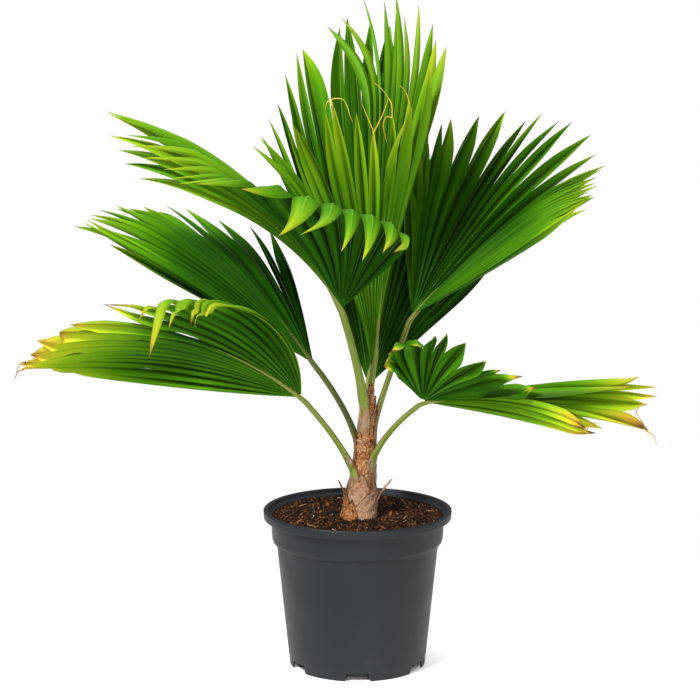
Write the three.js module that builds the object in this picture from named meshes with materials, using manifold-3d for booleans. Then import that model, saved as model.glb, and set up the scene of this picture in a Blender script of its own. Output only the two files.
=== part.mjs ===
// A Fiji fan palm in a nursery pot: pot, potting mix, a short fibrous trunk and seven pleated fan fronds.
// Millimetres, +Z up, the floor at z = 0 under the middle of the pot, the plant's front towards -Y.
import * as THREE from 'three';
import { mergeVertices } from 'three/addons/utils/BufferGeometryUtils.js';
import Module from 'manifold-3d';

const wasm = await Module();
wasm.setup();

// Driving dimensions of the pot
const POT_HEIGHT = 235;
const RIM_RADIUS = 140;
const LIP_HEIGHT = 12;
const BAND_RADIUS = 128.5;
const LEDGE_HEIGHT = 188;
const BODY_TOP_RADIUS = 120.5;
const BODY_FOOT_RADIUS = 103;
const FOOT_RING_HEIGHT = 14;
const WALL = 2.4;
const FLOOR = 5;
const SIDES = 48;
const NOTCHES = 6;
const NOTCH_WIDTH = 38;
const NOTCH_HEIGHT = 13;
const NOTCH_SLOPE = 3.5;
const NICK = { width: 6, depth: 6, height: 4 };
const CHANNEL = { inner: 46, width: 21, height: 3.5 };
const SEAT = { radius: 127.2, height: 226 };

// Driving dimensions of the plant
const CLEAR = 0.3;
const SOIL_BELOW_RIM = 12;
const SOIL_MOUND = 5;
const MOUND_RADIUS = 44;
const TRUNK_TOP = 404;
const TRIM = 8;
const BARK_FLARE = 1.05;
const LEAFLETS = 18;
const PETIOLE_RADIUS = 6.4;
const PETIOLE_BASE_RADIUS = 9.5;
const RIB_RADIUS = 8;

const X = new THREE.Vector3(1, 0, 0);
const UP = new THREE.Vector3(0, 0, 1);

// Small helpers: angles are in degrees, azimuth 0 along +X and 90 along +Y
const rad = THREE.MathUtils.degToRad;
const lerp = THREE.MathUtils.lerp;

function aim(azimuth, rise) {
  const flat = Math.cos(rad(rise));
  return new THREE.Vector3(Math.cos(rad(azimuth)) * flat, Math.sin(rad(azimuth)) * flat, Math.sin(rad(rise)));
}

function ease(x) {
  const t = Math.min(Math.max(x, 0), 1);
  return t * t * (3 - 2 * t);
}

// A repeatable stream of numbers from 0 to 1
function seeded(seed) {
  let state = seed;
  return () => {
    state = (state * 16807) % 2147483647;
    return state / 2147483647;
  };
}

// A smooth curve through rows of values, read at x
function through(places, rows, x) {
  let i = 0;
  while (i < places.length - 2 && x > places[i + 1]) i += 1;
  const slope = (k, c) => {
    const a = Math.max(k - 1, 0);
    const b = Math.min(k + 1, places.length - 1);
    return (rows[b][c] - rows[a][c]) / (places[b] - places[a]);
  };
  const h = places[i + 1] - places[i];
  const t = (x - places[i]) / h;
  return rows[i].map((value, c) => {
    const from = (2 * t ** 3 - 3 * t ** 2 + 1) * value + (t ** 3 - 2 * t ** 2 + t) * h * slope(i, c);
    const to = (3 * t ** 2 - 2 * t ** 3) * rows[i + 1][c] + (t ** 3 - t ** 2) * h * slope(i + 1, c);
    return from + to;
  });
}

// Solids: a three.js geometry to a closed solid with its faces pointing out, and back
function solidOf(geometry) {
  const bare = geometry.clone();
  bare.deleteAttribute('normal');
  bare.deleteAttribute('uv');
  const merged = mergeVertices(bare, 1e-4);
  const spots = merged.attributes.position;
  const corners = [];
  let volume = 0;
  for (let i = 0; i < merged.index.count; i += 3) {
    const [a, b, c] = [0, 1, 2].map((k) => merged.index.getX(i + k));
    if (a === b || b === c || c === a) continue;
    corners.push([a, b, c]);
    const [p, q, r] = [a, b, c].map((k) => new THREE.Vector3().fromBufferAttribute(spots, k));
    volume += p.dot(q.cross(r));
  }
  const facing = volume > 0 ? corners : corners.map(([a, b, c]) => [a, c, b]);
  return new wasm.Manifold(new wasm.Mesh({
    numProp: 3,
    vertProperties: new Float32Array(spots.array),
    triVerts: new Uint32Array(facing.flat()),
  }));
}

function geometryOf(solid) {
  const mesh = solid.getMesh();
  const geometry = new THREE.BufferGeometry();
  geometry.setAttribute('position', new THREE.BufferAttribute(mesh.vertProperties, 3));
  geometry.setIndex(new THREE.BufferAttribute(mesh.triVerts, 1));
  return geometry;
}

function geometryFrom(points, corners) {
  const geometry = new THREE.BufferGeometry();
  geometry.setAttribute('position', new THREE.Float32BufferAttribute(points.flatMap((p) => p.toArray()), 3));
  geometry.setIndex(corners);
  return geometry;
}

// A limb: rings of an oval section along a line of points, closed by flat ends
function limb(line, widths, depths, sides, sideways) {
  const points = [];
  const corners = [];
  line.forEach((centre, k) => {
    const ahead = line[Math.min(k + 1, line.length - 1)].clone().sub(line[Math.max(k - 1, 0)]).normalize();
    const depthways = new THREE.Vector3().crossVectors(ahead, sideways).normalize();
    const across = new THREE.Vector3().crossVectors(depthways, ahead).normalize();
    for (let s = 0; s < sides; s += 1) {
      const turn = (2 * Math.PI * s) / sides;
      points.push(centre.clone()
        .addScaledVector(across, widths[k] * Math.cos(turn))
        .addScaledVector(depthways, depths[k] * Math.sin(turn)));
    }
  });
  const last = (line.length - 1) * sides;
  for (let s = 0; s < sides; s += 1) {
    const next = (s + 1) % sides;
    for (let k = 0; k < line.length - 1; k += 1) {
      const low = k * sides;
      const high = low + sides;
      corners.push(low + s, high + s, low + next, low + next, high + s, high + next);
    }
    if (s > 0 && s < sides - 1) {
      corners.push(0, s, next);
      corners.push(last, last + next, last + s);
    }
  }
  return solidOf(geometryFrom(points, corners));
}

// Pot: a turned shell, notched at the foot, with drain channels under its floor
function turned(profile) {
  const outline = profile.map(([r, z]) => new THREE.Vector2(r, z));
  const lathe = new THREE.LatheGeometry(outline, SIDES);
  lathe.rotateX(Math.PI / 2);
  return solidOf(lathe);
}

const innerFoot = BODY_FOOT_RADIUS - WALL - 0.6;
const floorStep = { radius: 86, height: FOOT_RING_HEIGHT + 3 };
const soilTop = POT_HEIGHT - SOIL_BELOW_RIM;

function makePot() {
  const shell = turned([
    [0, 0],
    [BODY_FOOT_RADIUS - 1.5, 0],
    [BODY_FOOT_RADIUS - 0.6, FOOT_RING_HEIGHT - 1],
    [BODY_FOOT_RADIUS, FOOT_RING_HEIGHT],
    [BODY_TOP_RADIUS, LEDGE_HEIGHT - 6],
    [BODY_TOP_RADIUS + 2.5, LEDGE_HEIGHT - 2],
    [BAND_RADIUS - 2, LEDGE_HEIGHT],
    [BAND_RADIUS - 1, LEDGE_HEIGHT + 3],
    [BAND_RADIUS + 0.5, POT_HEIGHT - LIP_HEIGHT],
    [RIM_RADIUS - 1, POT_HEIGHT - LIP_HEIGHT],
    [RIM_RADIUS, POT_HEIGHT - LIP_HEIGHT + 2],
    [RIM_RADIUS, POT_HEIGHT - 3],
    [RIM_RADIUS - 2.5, POT_HEIGHT],
    [RIM_RADIUS - 6, POT_HEIGHT],
    [RIM_RADIUS - 8, POT_HEIGHT - 5],
    [SEAT.radius, SEAT.height],
    [BAND_RADIUS - WALL, LEDGE_HEIGHT + 3],
    [BODY_TOP_RADIUS - WALL, LEDGE_HEIGHT - 4],
    [innerFoot, floorStep.height],
    [floorStep.radius, floorStep.height],
    [floorStep.radius - 2, FLOOR],
    [0, FLOOR],
  ]);
  let pot = shell;
  for (let i = 0; i < NOTCHES; i += 1) {
    const azimuth = -90 + (360 / NOTCHES) * i;
    pot = pot.subtract(notch(azimuth)).subtract(channel(azimuth)).subtract(nick(azimuth + 180 / NOTCHES));
  }
  return pot;
}

function placedBox(width, depth, height, azimuth, radius) {
  const box = new THREE.BoxGeometry(depth, width, height);
  box.translate(radius + depth / 2, 0, height / 2 - 1);
  box.rotateZ(rad(azimuth));
  return solidOf(box);
}

function notch(azimuth) {
  const half = NOTCH_WIDTH / 2;
  const opening = new THREE.Shape();
  opening.moveTo(-half, -1);
  opening.lineTo(half, -1);
  opening.lineTo(half - NOTCH_SLOPE, NOTCH_HEIGHT);
  opening.lineTo(-half + NOTCH_SLOPE, NOTCH_HEIGHT);
  const block = new THREE.ExtrudeGeometry(opening, { depth: 20, bevelEnabled: false });
  block.rotateX(Math.PI / 2);
  block.rotateZ(Math.PI / 2);
  block.translate(floorStep.radius + 3, 0, 0);
  block.rotateZ(rad(azimuth));
  return solidOf(block);
}

function channel(azimuth) {
  return placedBox(CHANNEL.width, floorStep.radius + 6 - CHANNEL.inner, CHANNEL.height, azimuth, CHANNEL.inner);
}

function nick(azimuth) {
  return placedBox(NICK.width, NICK.depth, NICK.height, azimuth, BODY_FOOT_RADIUS - NICK.depth / 2);
}

// Potting mix: fills the pot to just under the rim, flat where the trunk stands
function makeSoil() {
  const gap = CLEAR + 0.1;
  return turned([
    [0, FLOOR + gap],
    [floorStep.radius - 2 - gap, FLOOR + gap],
    [floorStep.radius - gap, floorStep.height + gap],
    [innerFoot - gap, floorStep.height + gap],
    [BODY_TOP_RADIUS - WALL - gap, LEDGE_HEIGHT - 4],
    [BAND_RADIUS - WALL - gap, LEDGE_HEIGHT + 3],
    [SEAT.radius - 0.8, soilTop - 1],
    [100, soilTop + 1],
    [MOUND_RADIUS + 22, soilTop + 2],
    [MOUND_RADIUS, soilTop + SOIL_MOUND],
    [0, soilTop + SOIL_MOUND],
  ]);
}

// Trunk: leans a little to the right, flares at the root, clasped by the stumps of old leaf bases
const trunkFoot = soilTop + SOIL_MOUND + CLEAR;
const trunkHeights = [trunkFoot, 236, 252, 272, 292, 312, 332, 352, 370, 386, TRUNK_TOP];
const trunkRadii = [28, 26.5, 24.5, 23.5, 22, 20, 18, 16, 14, 12, 10.5];
const leanHeights = [trunkFoot, 300, 345, 375, TRUNK_TOP];
const leanRows = [[4], [7], [9.5], [13], [19]];

function trunkAxis(height) {
  return new THREE.Vector3(through(leanHeights, leanRows, height)[0], 0, height);
}

// Stumps of old leaf bases: height, azimuth, length, width, and how far the tip stands off the trunk
const leafBases = [
  { height: 238, azimuth: -60, length: 56, width: 17, stand: 12 },
  { height: 236, azimuth: 215, length: 40, width: 15, stand: 9 },
  { height: 240, azimuth: 60, length: 46, width: 16, stand: 8 },
  { height: 250, azimuth: 140, length: 44, width: 15, stand: 7 },
  { height: 262, azimuth: -15, length: 42, width: 14, stand: 16 },
  { height: 272, azimuth: 190, length: 34, width: 13, stand: 13 },
  { height: 284, azimuth: -95, length: 46, width: 14, stand: 5 },
  { height: 300, azimuth: 95, length: 44, width: 13, stand: 6 },
  { height: 316, azimuth: -40, length: 40, width: 11, stand: 5 },
];

function trunkRadius(height) {
  return through(trunkHeights, trunkRadii.map((r) => [r]), height)[0];
}

function leafBase({ height, azimuth, length, width, stand }, grow) {
  const steps = 5;
  const line = [];
  const widths = [];
  const depths = [];
  for (let k = 0; k <= steps; k += 1) {
    const t = k / steps;
    const z = height + length * t;
    const outwards = aim(azimuth, 0);
    const reach = trunkRadius(z) - 3.5 + stand * t ** 1.5;
    line.push(trunkAxis(z).addScaledVector(outwards, reach));
    widths.push(width * (1 - 0.9 * t ** 1.6) + grow);
    depths.push(lerp(4.5, 1.2, t) + grow);
  }
  return limb(line, widths, depths, 8, aim(azimuth + 90, 0));
}

function makeTrunk(grow = 0) {
  const line = trunkHeights.map(trunkAxis);
  line[0].z -= TRIM;
  line[line.length - 1].z += TRIM;
  const radii = trunkRadii.map((r) => r + grow * BARK_FLARE);
  const core = limb(line, radii, radii, 16, X);
  return leafBases.reduce((whole, base) => whole.add(leafBase(base, grow)), core)
    .trimByPlane([0, 0, 1], trunkFoot - grow)
    .trimByPlane([0, 0, -1], -(TRUNK_TOP + grow));
}

// Fronds. hub: where the stalk meets the blade. heading: the way it arches. Each guide leaflet holds
// place across the fan from 0 to 1, azimuth, rise, length, arch and, past the hook, how far its tip folds.
const fronds = [
  {
    name: 'upper_right', hub: [80, 20, 524], heading: 35, steep: 45, split: 0.56, seed: 11,
    guides: [
      [0.00, 132, 83, 185, 10, 0],
      [0.13, 69, 75, 295, 14, 0],
      [0.35, 45, 55, 375, 16, 0],
      [0.54, 25, 41, 395, 20, 0],
      [0.70, 3, 40, 305, 22, 0],
      [1.00, 327, 32, 190, 14, 0],
    ],
    petiole: { height: 320, rise: 76, reach: 0.40 }, rib: 0.34,
  },
  {
    name: 'arching_left', hub: [-24, -70, 547], heading: 186, steep: 40, split: 0.66, seed: 23,
    late: 1.0, hookAt: 0.74,
    guides: [
      [0.00, 156, 61, 345, 62, 0],
      [0.09, 171, 66, 425, 62, 0],
      [0.18, 188, 71, 445, 60, 0],
      [0.38, 225, 58, 365, 36, 20],
      [0.50, 247, 57, 320, 24, 60],
      [0.60, 262, 54, 304, 18, 110],
      [0.73, 280, 48, 294, 10, 128],
      [0.87, 297, 43, 284, 8, 125],
      [1.00, 310, 36, 262, 8, 120],
    ],
    petiole: { height: 335, rise: 76, reach: 0.45 }, rib: 0.40, ribPlace: 0.30,
  },
  {
    name: 'middle_left', hub: [-66, 30, 450], heading: 180, steep: 45, split: 0.52, seed: 37,
    guides: [
      [0.00, 181, 31, 345, 4, 0],
      [0.06, 180, 34, 400, 4, 0],
      [0.14, 174, 38, 410, 18, 0],
      [0.31, 163, 45, 400, 26, 0],
      [0.56, 143, 48, 345, 24, 0],
      [0.77, 125, 51, 278, 18, 0],
      [1.00, 108, 60, 212, 12, 0],
    ],
    petiole: { height: 300, rise: 80, reach: 0.45 }, rib: 0.34,
  },
  {
    name: 'low_left', hub: [-82, -60, 416], heading: 180, steep: 50, split: 0.62, seed: 41,
    late: 1.2, hookAt: 0.74,
    guides: [
      [0.00, 180, 4, 345, -8, 0],
      [0.11, 184, 19, 405, 26, 0],
      [0.23, 189, 28, 420, 46, 0],
      [0.33, 196, 33, 400, 44, 0],
      [0.42, 203, 38, 372, 42, 0],
      [0.51, 210, 45, 365, 44, 0],
      [0.60, 219, 49, 368, 52, 60],
      [0.68, 230, 50, 368, 56, 95],
      [0.80, 246, 55, 350, 66, 95],
      [0.90, 259, 60, 318, 80, 80],
      [1.00, 277, 64, 290, 96, 60],
    ],
    petiole: { height: 268, rise: 66, reach: 0.45 }, rib: 0.42, ribPlace: 0.42,
  },
  {
    name: 'back', hub: [17, 30, 417], heading: 90, steep: 30, split: 0.58, seed: 53,
    guides: [
      [0.00, 156, 65, 416, 6, 0],
      [0.10, 147, 68, 449, 6, 0],
      [0.19, 136, 72, 530, 6, 0],
      [0.27, 112, 75, 562, 4, 0],
      [0.35, 101, 77, 563, 2, 0],
      [0.44, 80, 77, 560, 2, 0],
      [0.52, 66, 72, 500, 8, 0],
      [0.65, 51, 65, 413, 12, 0],
      [0.81, 35, 54, 330, 14, 0],
      [1.00, 21, 39, 260, 14, 0],
    ],
    petiole: { height: 330, rise: 82, reach: 0.50 }, rib: 0.30,
  },
  {
    name: 'low_right', hub: [95, -60, 409], heading: 0, steep: 60, split: 0.55, seed: 67,
    guides: [
      [0.00, 193, 51, 75, 14, 0],
      [0.09, 209, 61, 115, 20, 0],
      [0.20, 266, 55, 145, 12, 0],
      [0.31, 283, 49, 170, 12, 0],
      [0.44, 301, 33, 180, 14, 0],
      [0.55, 319, 25, 205, 16, 0],
      [0.68, 346, 13, 330, 12, 0],
      [0.80, 349, 5, 345, 14, 0],
      [0.91, 348, -1, 320, 18, 0],
      [1.00, 352, -7, 260, 10, 0],
    ],
    petiole: { height: 283, rise: 68, reach: 0.50 }, rib: 0.30, ribPlace: 0.60,
  },
  {
    name: 'newest', hub: [24, 0, 418], heading: 270, steep: 45, split: 0.60, seed: 79,
    bundle: 0.25, inner: 92, rib: 0.34,
    guides: [
      [0.00, 165, 64, 420, 14, 0],
      [0.14, 202, 69, 429, 12, 0],
      [0.26, 237, 74, 456, 10, 0],
      [0.34, 270, 77, 425, 10, 0],
      [0.42, 297, 78, 442, 8, 0],
      [0.50, 327, 79, 456, 6, 0],
      [0.58, 5, 76, 517, 0, 0],
      [0.66, 31, 77, 562, 0, 0],
      [0.76, 54, 78, 572, 0, 0],
      [0.88, 77, 77, 592, 0, 0],
      [1.00, 97, 76, 575, 4, 0],
    ],
  },
];

const STEPS = 40;
const HOOK_STEPS = 3;

// The line of one leaflet: it leaves the hub along its aim and arches over towards the frond's heading
function leafletLine(frond, place) {
  const places = frond.guides.map((guide) => guide[0]);
  const rows = frond.guides.map(([, azimuth, rise, length, arch, hook]) => (
    [...aim(azimuth, rise).toArray(), length, arch, hook]));
  const [dx, dy, dz, length, arch, hook] = through(places, rows, place);
  const start = new THREE.Vector3(dx, dy, dz).normalize();
  const axis = new THREE.Vector3().crossVectors(start, aim(frond.heading, -frond.steep)).normalize();
  const points = [new THREE.Vector3(...frond.hub)];
  for (let k = 0; k < STEPS; k += 1) {
    const t = (k + 0.5) / STEPS;
    const step = start.clone().applyAxisAngle(axis, rad(arch) * t ** (frond.late ?? 1.6));
    if (frond.bundle) {
      const opened = frond.bundle + (1 - frond.bundle) * ease(t / 0.5);
      step.lerp(bundleOf(frond), 1 - opened).normalize();
    }
    points.push(points[k].clone().addScaledVector(step, length / STEPS));
  }
  return { points, length, hook };
}

// The direction that a half-open leaf's pleats share at its foot
function bundleOf(frond) {
  const sum = new THREE.Vector3();
  for (const [, azimuth, rise] of frond.guides) sum.add(aim(azimuth, rise));
  return sum.normalize();
}

// Past the hook each tip turns over towards the ground
function foldTips(frond, lines) {
  if (!frond.hookAt) return;
  const first = Math.floor(frond.hookAt * STEPS);
  for (const line of lines) {
    const steps = [];
    for (let k = first; k < STEPS; k += 1) steps.push(line.points[k + 1].clone().sub(line.points[k]));
    const axis = new THREE.Vector3().crossVectors(UP, steps[0]).normalize();
    steps.forEach((step, i) => {
      step.applyAxisAngle(axis, rad(line.hook) * ease((i + 0.5) / HOOK_STEPS));
      line.points[first + i + 1] = line.points[first + i].clone().add(step);
    });
  }
}

function pointAt(line, t) {
  const x = Math.min(Math.max(t, 0), 1) * STEPS;
  const k = Math.min(Math.floor(x), STEPS - 1);
  return line.points[k].clone().lerp(line.points[k + 1], x - k);
}

// A blade: pleated between leaflets as far as they are fused, then cut into free tapering tips
const BLADE_ROWS = [0, 0.14, 0.30, 0.46, 0.58, 0.70, 0.85, 1];
const PLEAT = 0.30;
const INNER_RADIUS = 6;

function bladeLines(frond) {
  const lines = [];
  for (let j = 0; j <= 2 * LEAFLETS; j += 1) lines.push(leafletLine(frond, j / (2 * LEAFLETS)));
  foldTips(frond, lines);
  return lines;
}

function makeBlade(frond) {
  const lines = bladeLines(frond);
  const random = seeded(frond.seed);
  const longest = Math.max(...lines.map((line) => line.length));
  const thickness = longest / 100;
  const last = BLADE_ROWS.length - 1;
  const inner = frond.inner ?? INNER_RADIUS;

  // The smooth surface: points and normals at every line and row
  const smooth = lines.map((line) => BLADE_ROWS.map((row) => pointAt(line, lerp(inner / line.length, 1, row))));
  const normals = smooth.map((column, j) => column.map((point, k) => {
    const across = smooth[Math.min(j + 1, lines.length - 1)][k].clone().sub(smooth[Math.max(j - 1, 0)][k]);
    const along = column[Math.min(k + 1, last)].clone().sub(column[Math.max(k - 1, 0)]);
    return across.cross(along).normalize();
  }));

  // The row where each valley between two leaflets stops being fused
  const splits = [];
  for (let v = 0; v <= LEAFLETS; v += 1) {
    const margin = v === 0 || v === LEAFLETS;
    const wanted = frond.split + (random() - 0.5) * 0.16;
    const row = BLADE_ROWS.findIndex((r) => r >= wanted);
    splits.push(margin ? Math.max(row - 1, 2) : row);
  }

  const points = [];
  const backs = [];
  const addPoint = (point, normal, lift, thick) => {
    points.push(point.clone().addScaledVector(normal, lift + thick / 2));
    backs.push(point.clone().addScaledVector(normal, lift - thick / 2));
    return points.length - 1;
  };
  const thickAt = (k) => thickness * lerp(1, 0.45, ease((BLADE_ROWS[k] - 0.6) / 0.4));
  const taper = (k, split) => {
    const from = BLADE_ROWS[split];
    return Math.max(0, 1 - ((BLADE_ROWS[k] - from) / (1 - from)) ** 1.15);
  };
  const ramp = (k) => PLEAT * ease(BLADE_ROWS[k] / 0.3);

  const ridges = [];
  for (let i = 0; i < LEAFLETS; i += 1) {
    const j = 2 * i + 1;
    ridges.push(BLADE_ROWS.map((row, k) => {
      const half = smooth[j][k].distanceTo(smooth[j + 1][k]);
      const open = k > splits[i] ? taper(k, splits[i]) : 1;
      return addPoint(smooth[j][k], normals[j][k], -half * ramp(k) * open, thickAt(k));
    }));
  }
  // Edge points of a valley: shared while fused, then one for the leaflet on each side
  const edges = [];
  for (let v = 0; v <= LEAFLETS; v += 1) {
    const j = 2 * v;
    const sides = { left: [], right: [] };
    BLADE_ROWS.slice(0, last).forEach((row, k) => {
      const near = j > 0 ? j - 1 : j + 1;
      const half = smooth[j][k].distanceTo(smooth[near][k]);
      if (k <= splits[v]) {
        const index = addPoint(smooth[j][k], normals[j][k], half * ramp(k), thickAt(k));
        sides.left.push(index);
        sides.right.push(index);
        return;
      }
      const open = taper(k, splits[v]);
      for (const [side, ridge] of [['left', j - 1], ['right', j + 1]]) {
        if (ridge < 0 || ridge > 2 * LEAFLETS) {
          sides[side].push(-1);
        } else {
          const spot = smooth[ridge][k].clone().lerp(smooth[j][k], open);
          sides[side].push(addPoint(spot, normals[ridge][k], half * ramp(k) * open, thickAt(k)));
        }
      }
    });
    edges.push(sides);
  }

  const faces = [];
  for (let i = 0; i < LEAFLETS; i += 1) {
    const ridge = ridges[i];
    for (const [edge, flip] of [[edges[i].right, false], [edges[i + 1].left, true]]) {
      for (let k = 0; k < last; k += 1) {
        const quad = k < last - 1
          ? [[edge[k], ridge[k], ridge[k + 1]], [edge[k], ridge[k + 1], edge[k + 1]]]
          : [[edge[k], ridge[k], ridge[k + 1]]];
        for (const [a, b, c] of quad) faces.push(flip ? [a, c, b] : [a, b, c]);
      }
    }
  }
  const blade = closedSheet(points, backs, faces).add(makeRib(frond, lines));
  return frond.petiole ? blade : blade.trimByPlane([0, 0, 1], TRUNK_TOP + CLEAR);
}

// Front and back of a sheet, stitched along every open edge
function closedSheet(points, backs, faces) {
  const count = points.length;
  const corners = [];
  const open = new Map();
  for (const [a, b, c] of faces) {
    corners.push(a, b, c, a + count, c + count, b + count);
    for (const [from, to] of [[a, b], [b, c], [c, a]]) {
      if (open.has(`${to},${from}`)) open.delete(`${to},${from}`);
      else open.set(`${from},${to}`, [from, to]);
    }
  }
  for (const [from, to] of open.values()) {
    corners.push(to, from, from + count, to, from + count, to + count);
  }
  return solidOf(geometryFrom([...points, ...backs], corners));
}

// The rib that runs on from the stalk into the blade, and the stalk's own line
function petioleLine(frond) {
  const { height, rise, reach } = frond.petiole;
  const foot = trunkAxis(height);
  const hub = new THREE.Vector3(...frond.hub);
  const span = hub.clone().sub(foot);
  const azimuth = THREE.MathUtils.radToDeg(Math.atan2(span.y, span.x));
  const control = foot.clone().addScaledVector(aim(azimuth, rise), reach * span.length());
  return new THREE.QuadraticBezierCurve3(foot, control, hub);
}

function ribStart(frond) {
  const hub = new THREE.Vector3(...frond.hub);
  if (!frond.petiole) return { start: trunkAxis(TRUNK_TOP).setZ(TRUNK_TOP - 1), ahead: UP.clone() };
  const ahead = petioleLine(frond).getTangent(1);
  return { start: hub.clone().addScaledVector(ahead, -RIB_RADIUS), ahead };
}

// Half widths of a rib: at its foot, at its widest and where along it that is
const STALK_RIB = { foot: PETIOLE_RADIUS, widest: RIB_RADIUS, at: 0.2 };
const SPEAR_RIB = { foot: 8.5, widest: 12, at: 0.6 };

function makeRib(frond, lines) {
  const { start, ahead } = ribStart(frond);
  const spine = lines[Math.round((frond.ribPlace ?? 0.5) * (lines.length - 1))];
  const route = [start, start.clone().addScaledVector(ahead, 4)];
  const first = frond.petiole ? 0.10 : 0.16;
  const steps = 5;
  for (let k = 0; k <= steps; k += 1) {
    const t = lerp(first, frond.rib, k / steps);
    route.push(frond.petiole ? pointAt(spine, t) : bundlePoint(frond, t));
  }
  const curve = new THREE.CatmullRomCurve3(route, false, 'centripetal');
  const line = curve.getPoints(11);
  const { foot, widest, at } = frond.petiole ? STALK_RIB : SPEAR_RIB;
  const widths = line.map((_, k) => {
    const t = k / (line.length - 1);
    return t < at ? lerp(foot, widest, ease(t / at)) : lerp(widest, 2.2, ((t - at) / (1 - at)) ** 0.8);
  });
  return limb(line, widths, widths.map((w) => w * 0.8), 8, sidewaysOf(frond));
}

function bundlePoint(frond, t) {
  const middle = Math.floor(frond.guides.length / 2);
  return new THREE.Vector3(...frond.hub).addScaledVector(bundleOf(frond), t * frond.guides[middle][3]);
}

function sidewaysOf(frond) {
  const azimuth = THREE.MathUtils.radToDeg(Math.atan2(frond.hub[1], frond.hub[0] - trunkAxis(300).x));
  return aim(azimuth + 90, 0);
}

// A stalk: broad and clasping where it leaves the trunk, slender under the blade
function makePetiole(frond, taken, grow = 0) {
  const curve = petioleLine(frond);
  const stop = 1 - (RIB_RADIUS - grow) / curve.getLength();
  const steps = 10;
  const line = [];
  const widths = [];
  const depths = [];
  for (let k = 0; k <= steps; k += 1) {
    const t = k / steps;
    const radius = lerp(PETIOLE_BASE_RADIUS, PETIOLE_RADIUS, ease(t / 0.55));
    line.push(curve.getPointAt(t * stop));
    widths.push(radius + grow * 1.2);
    depths.push(radius * 0.8 + grow * 1.2);
  }
  const whole = limb(line, widths, depths, 8, sidewaysOf(frond));
  return taken.reduce((left, other) => left.subtract(other), whole);
}

// The largest body of a cut solid: its slivers are dropped
function largest(solid) {
  return solid.decompose().sort((a, b) => b.volume() - a.volume())[0];
}

// Finishes
const finishes = {
  pot: new THREE.MeshStandardMaterial({ color: 0x3f4245, roughness: 0.55, metalness: 0 }),
  soil: new THREE.MeshStandardMaterial({ color: 0x3a2418, roughness: 0.95, metalness: 0 }),
  trunk: new THREE.MeshStandardMaterial({ color: 0x8a6647, roughness: 0.9, metalness: 0 }),
  petiole: new THREE.MeshStandardMaterial({ color: 0x7f9a3c, roughness: 0.5, metalness: 0 }),
  blade: new THREE.MeshStandardMaterial({ color: 0x4b7f1f, roughness: 0.5, metalness: 0 }),
  newBlade: new THREE.MeshStandardMaterial({ color: 0x7cab2b, roughness: 0.45, metalness: 0 }),
};

const palm = new THREE.Group();

function addNode(name, geometry, material) {
  const mesh = new THREE.Mesh(geometry, material);
  mesh.name = name;
  palm.add(mesh);
}

addNode('pot', geometryOf(makePot()), finishes.pot);
addNode('potting_mix', geometryOf(makeSoil()), finishes.soil);
addNode('trunk', geometryOf(makeTrunk()), finishes.trunk);
const taken = [makeTrunk(CLEAR)];
for (const frond of fronds) {
  let blade = makeBlade(frond);
  if (frond.petiole) {
    addNode(`petiole_${frond.name}`, geometryOf(largest(makePetiole(frond, taken))), finishes.petiole);
    const grown = makePetiole(frond, [], CLEAR);
    blade = blade.subtract(grown);
    taken.push(grown);
  }
  const finish = frond.name === 'newest' ? finishes.newBlade : finishes.blade;
  addNode(`blade_${frond.name}`, geometryOf(largest(blade)), finish);
}

export default palm;
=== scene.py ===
# %% [markdown]
# # A potted Fiji fan palm
# A young fan palm in its nursery pot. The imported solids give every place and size: the pot, the mix, the
# trunk, six leaf stalks and seven fan blades. This lesson dresses each of them. Fine pleats, fibres, bark
# chips and gloss are what a camera sees, so that is where the work goes.

# %% Load the frame
import math

import bmesh
import bpy
import numpy as np
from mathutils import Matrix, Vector, noise


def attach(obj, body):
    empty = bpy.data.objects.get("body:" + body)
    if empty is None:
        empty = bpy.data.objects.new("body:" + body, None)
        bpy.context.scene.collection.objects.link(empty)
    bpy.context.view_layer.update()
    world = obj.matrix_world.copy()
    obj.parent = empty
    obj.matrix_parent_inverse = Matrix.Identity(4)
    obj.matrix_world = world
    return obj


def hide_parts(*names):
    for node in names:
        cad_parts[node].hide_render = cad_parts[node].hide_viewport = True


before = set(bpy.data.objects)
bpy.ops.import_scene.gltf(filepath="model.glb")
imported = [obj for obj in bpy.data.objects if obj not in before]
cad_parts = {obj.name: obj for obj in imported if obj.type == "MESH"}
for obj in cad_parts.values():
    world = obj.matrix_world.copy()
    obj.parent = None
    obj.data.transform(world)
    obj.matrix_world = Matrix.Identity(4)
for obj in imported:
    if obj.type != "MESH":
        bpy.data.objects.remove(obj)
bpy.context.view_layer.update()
MM = 0.001
BODY = "root"

# %% [markdown]
# ## Small helpers
# Leaves, stalks and trunk are all worked out with vectors, so a few short functions come first. Sizes are
# in millimetres while a shape is worked out, and turn into metres when its mesh is made. Angles are in
# degrees: azimuth 0 points along +X and 90 along +Y, away from the camera.

# %% Vector helpers
def unit(v):
    return v / np.maximum(np.linalg.norm(v, axis=-1, keepdims=True), 1e-9)


def aim(azimuth, rise):
    a, e = np.radians(azimuth), np.radians(rise)
    return np.stack([np.cos(a) * np.cos(e), np.sin(a) * np.cos(e), np.sin(e)], -1)


def ease(x):
    t = np.clip(x, 0, 1)
    return t * t * (3 - 2 * t)


def turn(v, axis, angle):
    """v turned about a unit axis, row by row"""
    c, s = np.cos(angle)[..., None], np.sin(angle)[..., None]
    along = np.sum(v * axis, -1, keepdims=True)
    return v * c + np.cross(axis, v) * s + axis * along * (1 - c)


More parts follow.
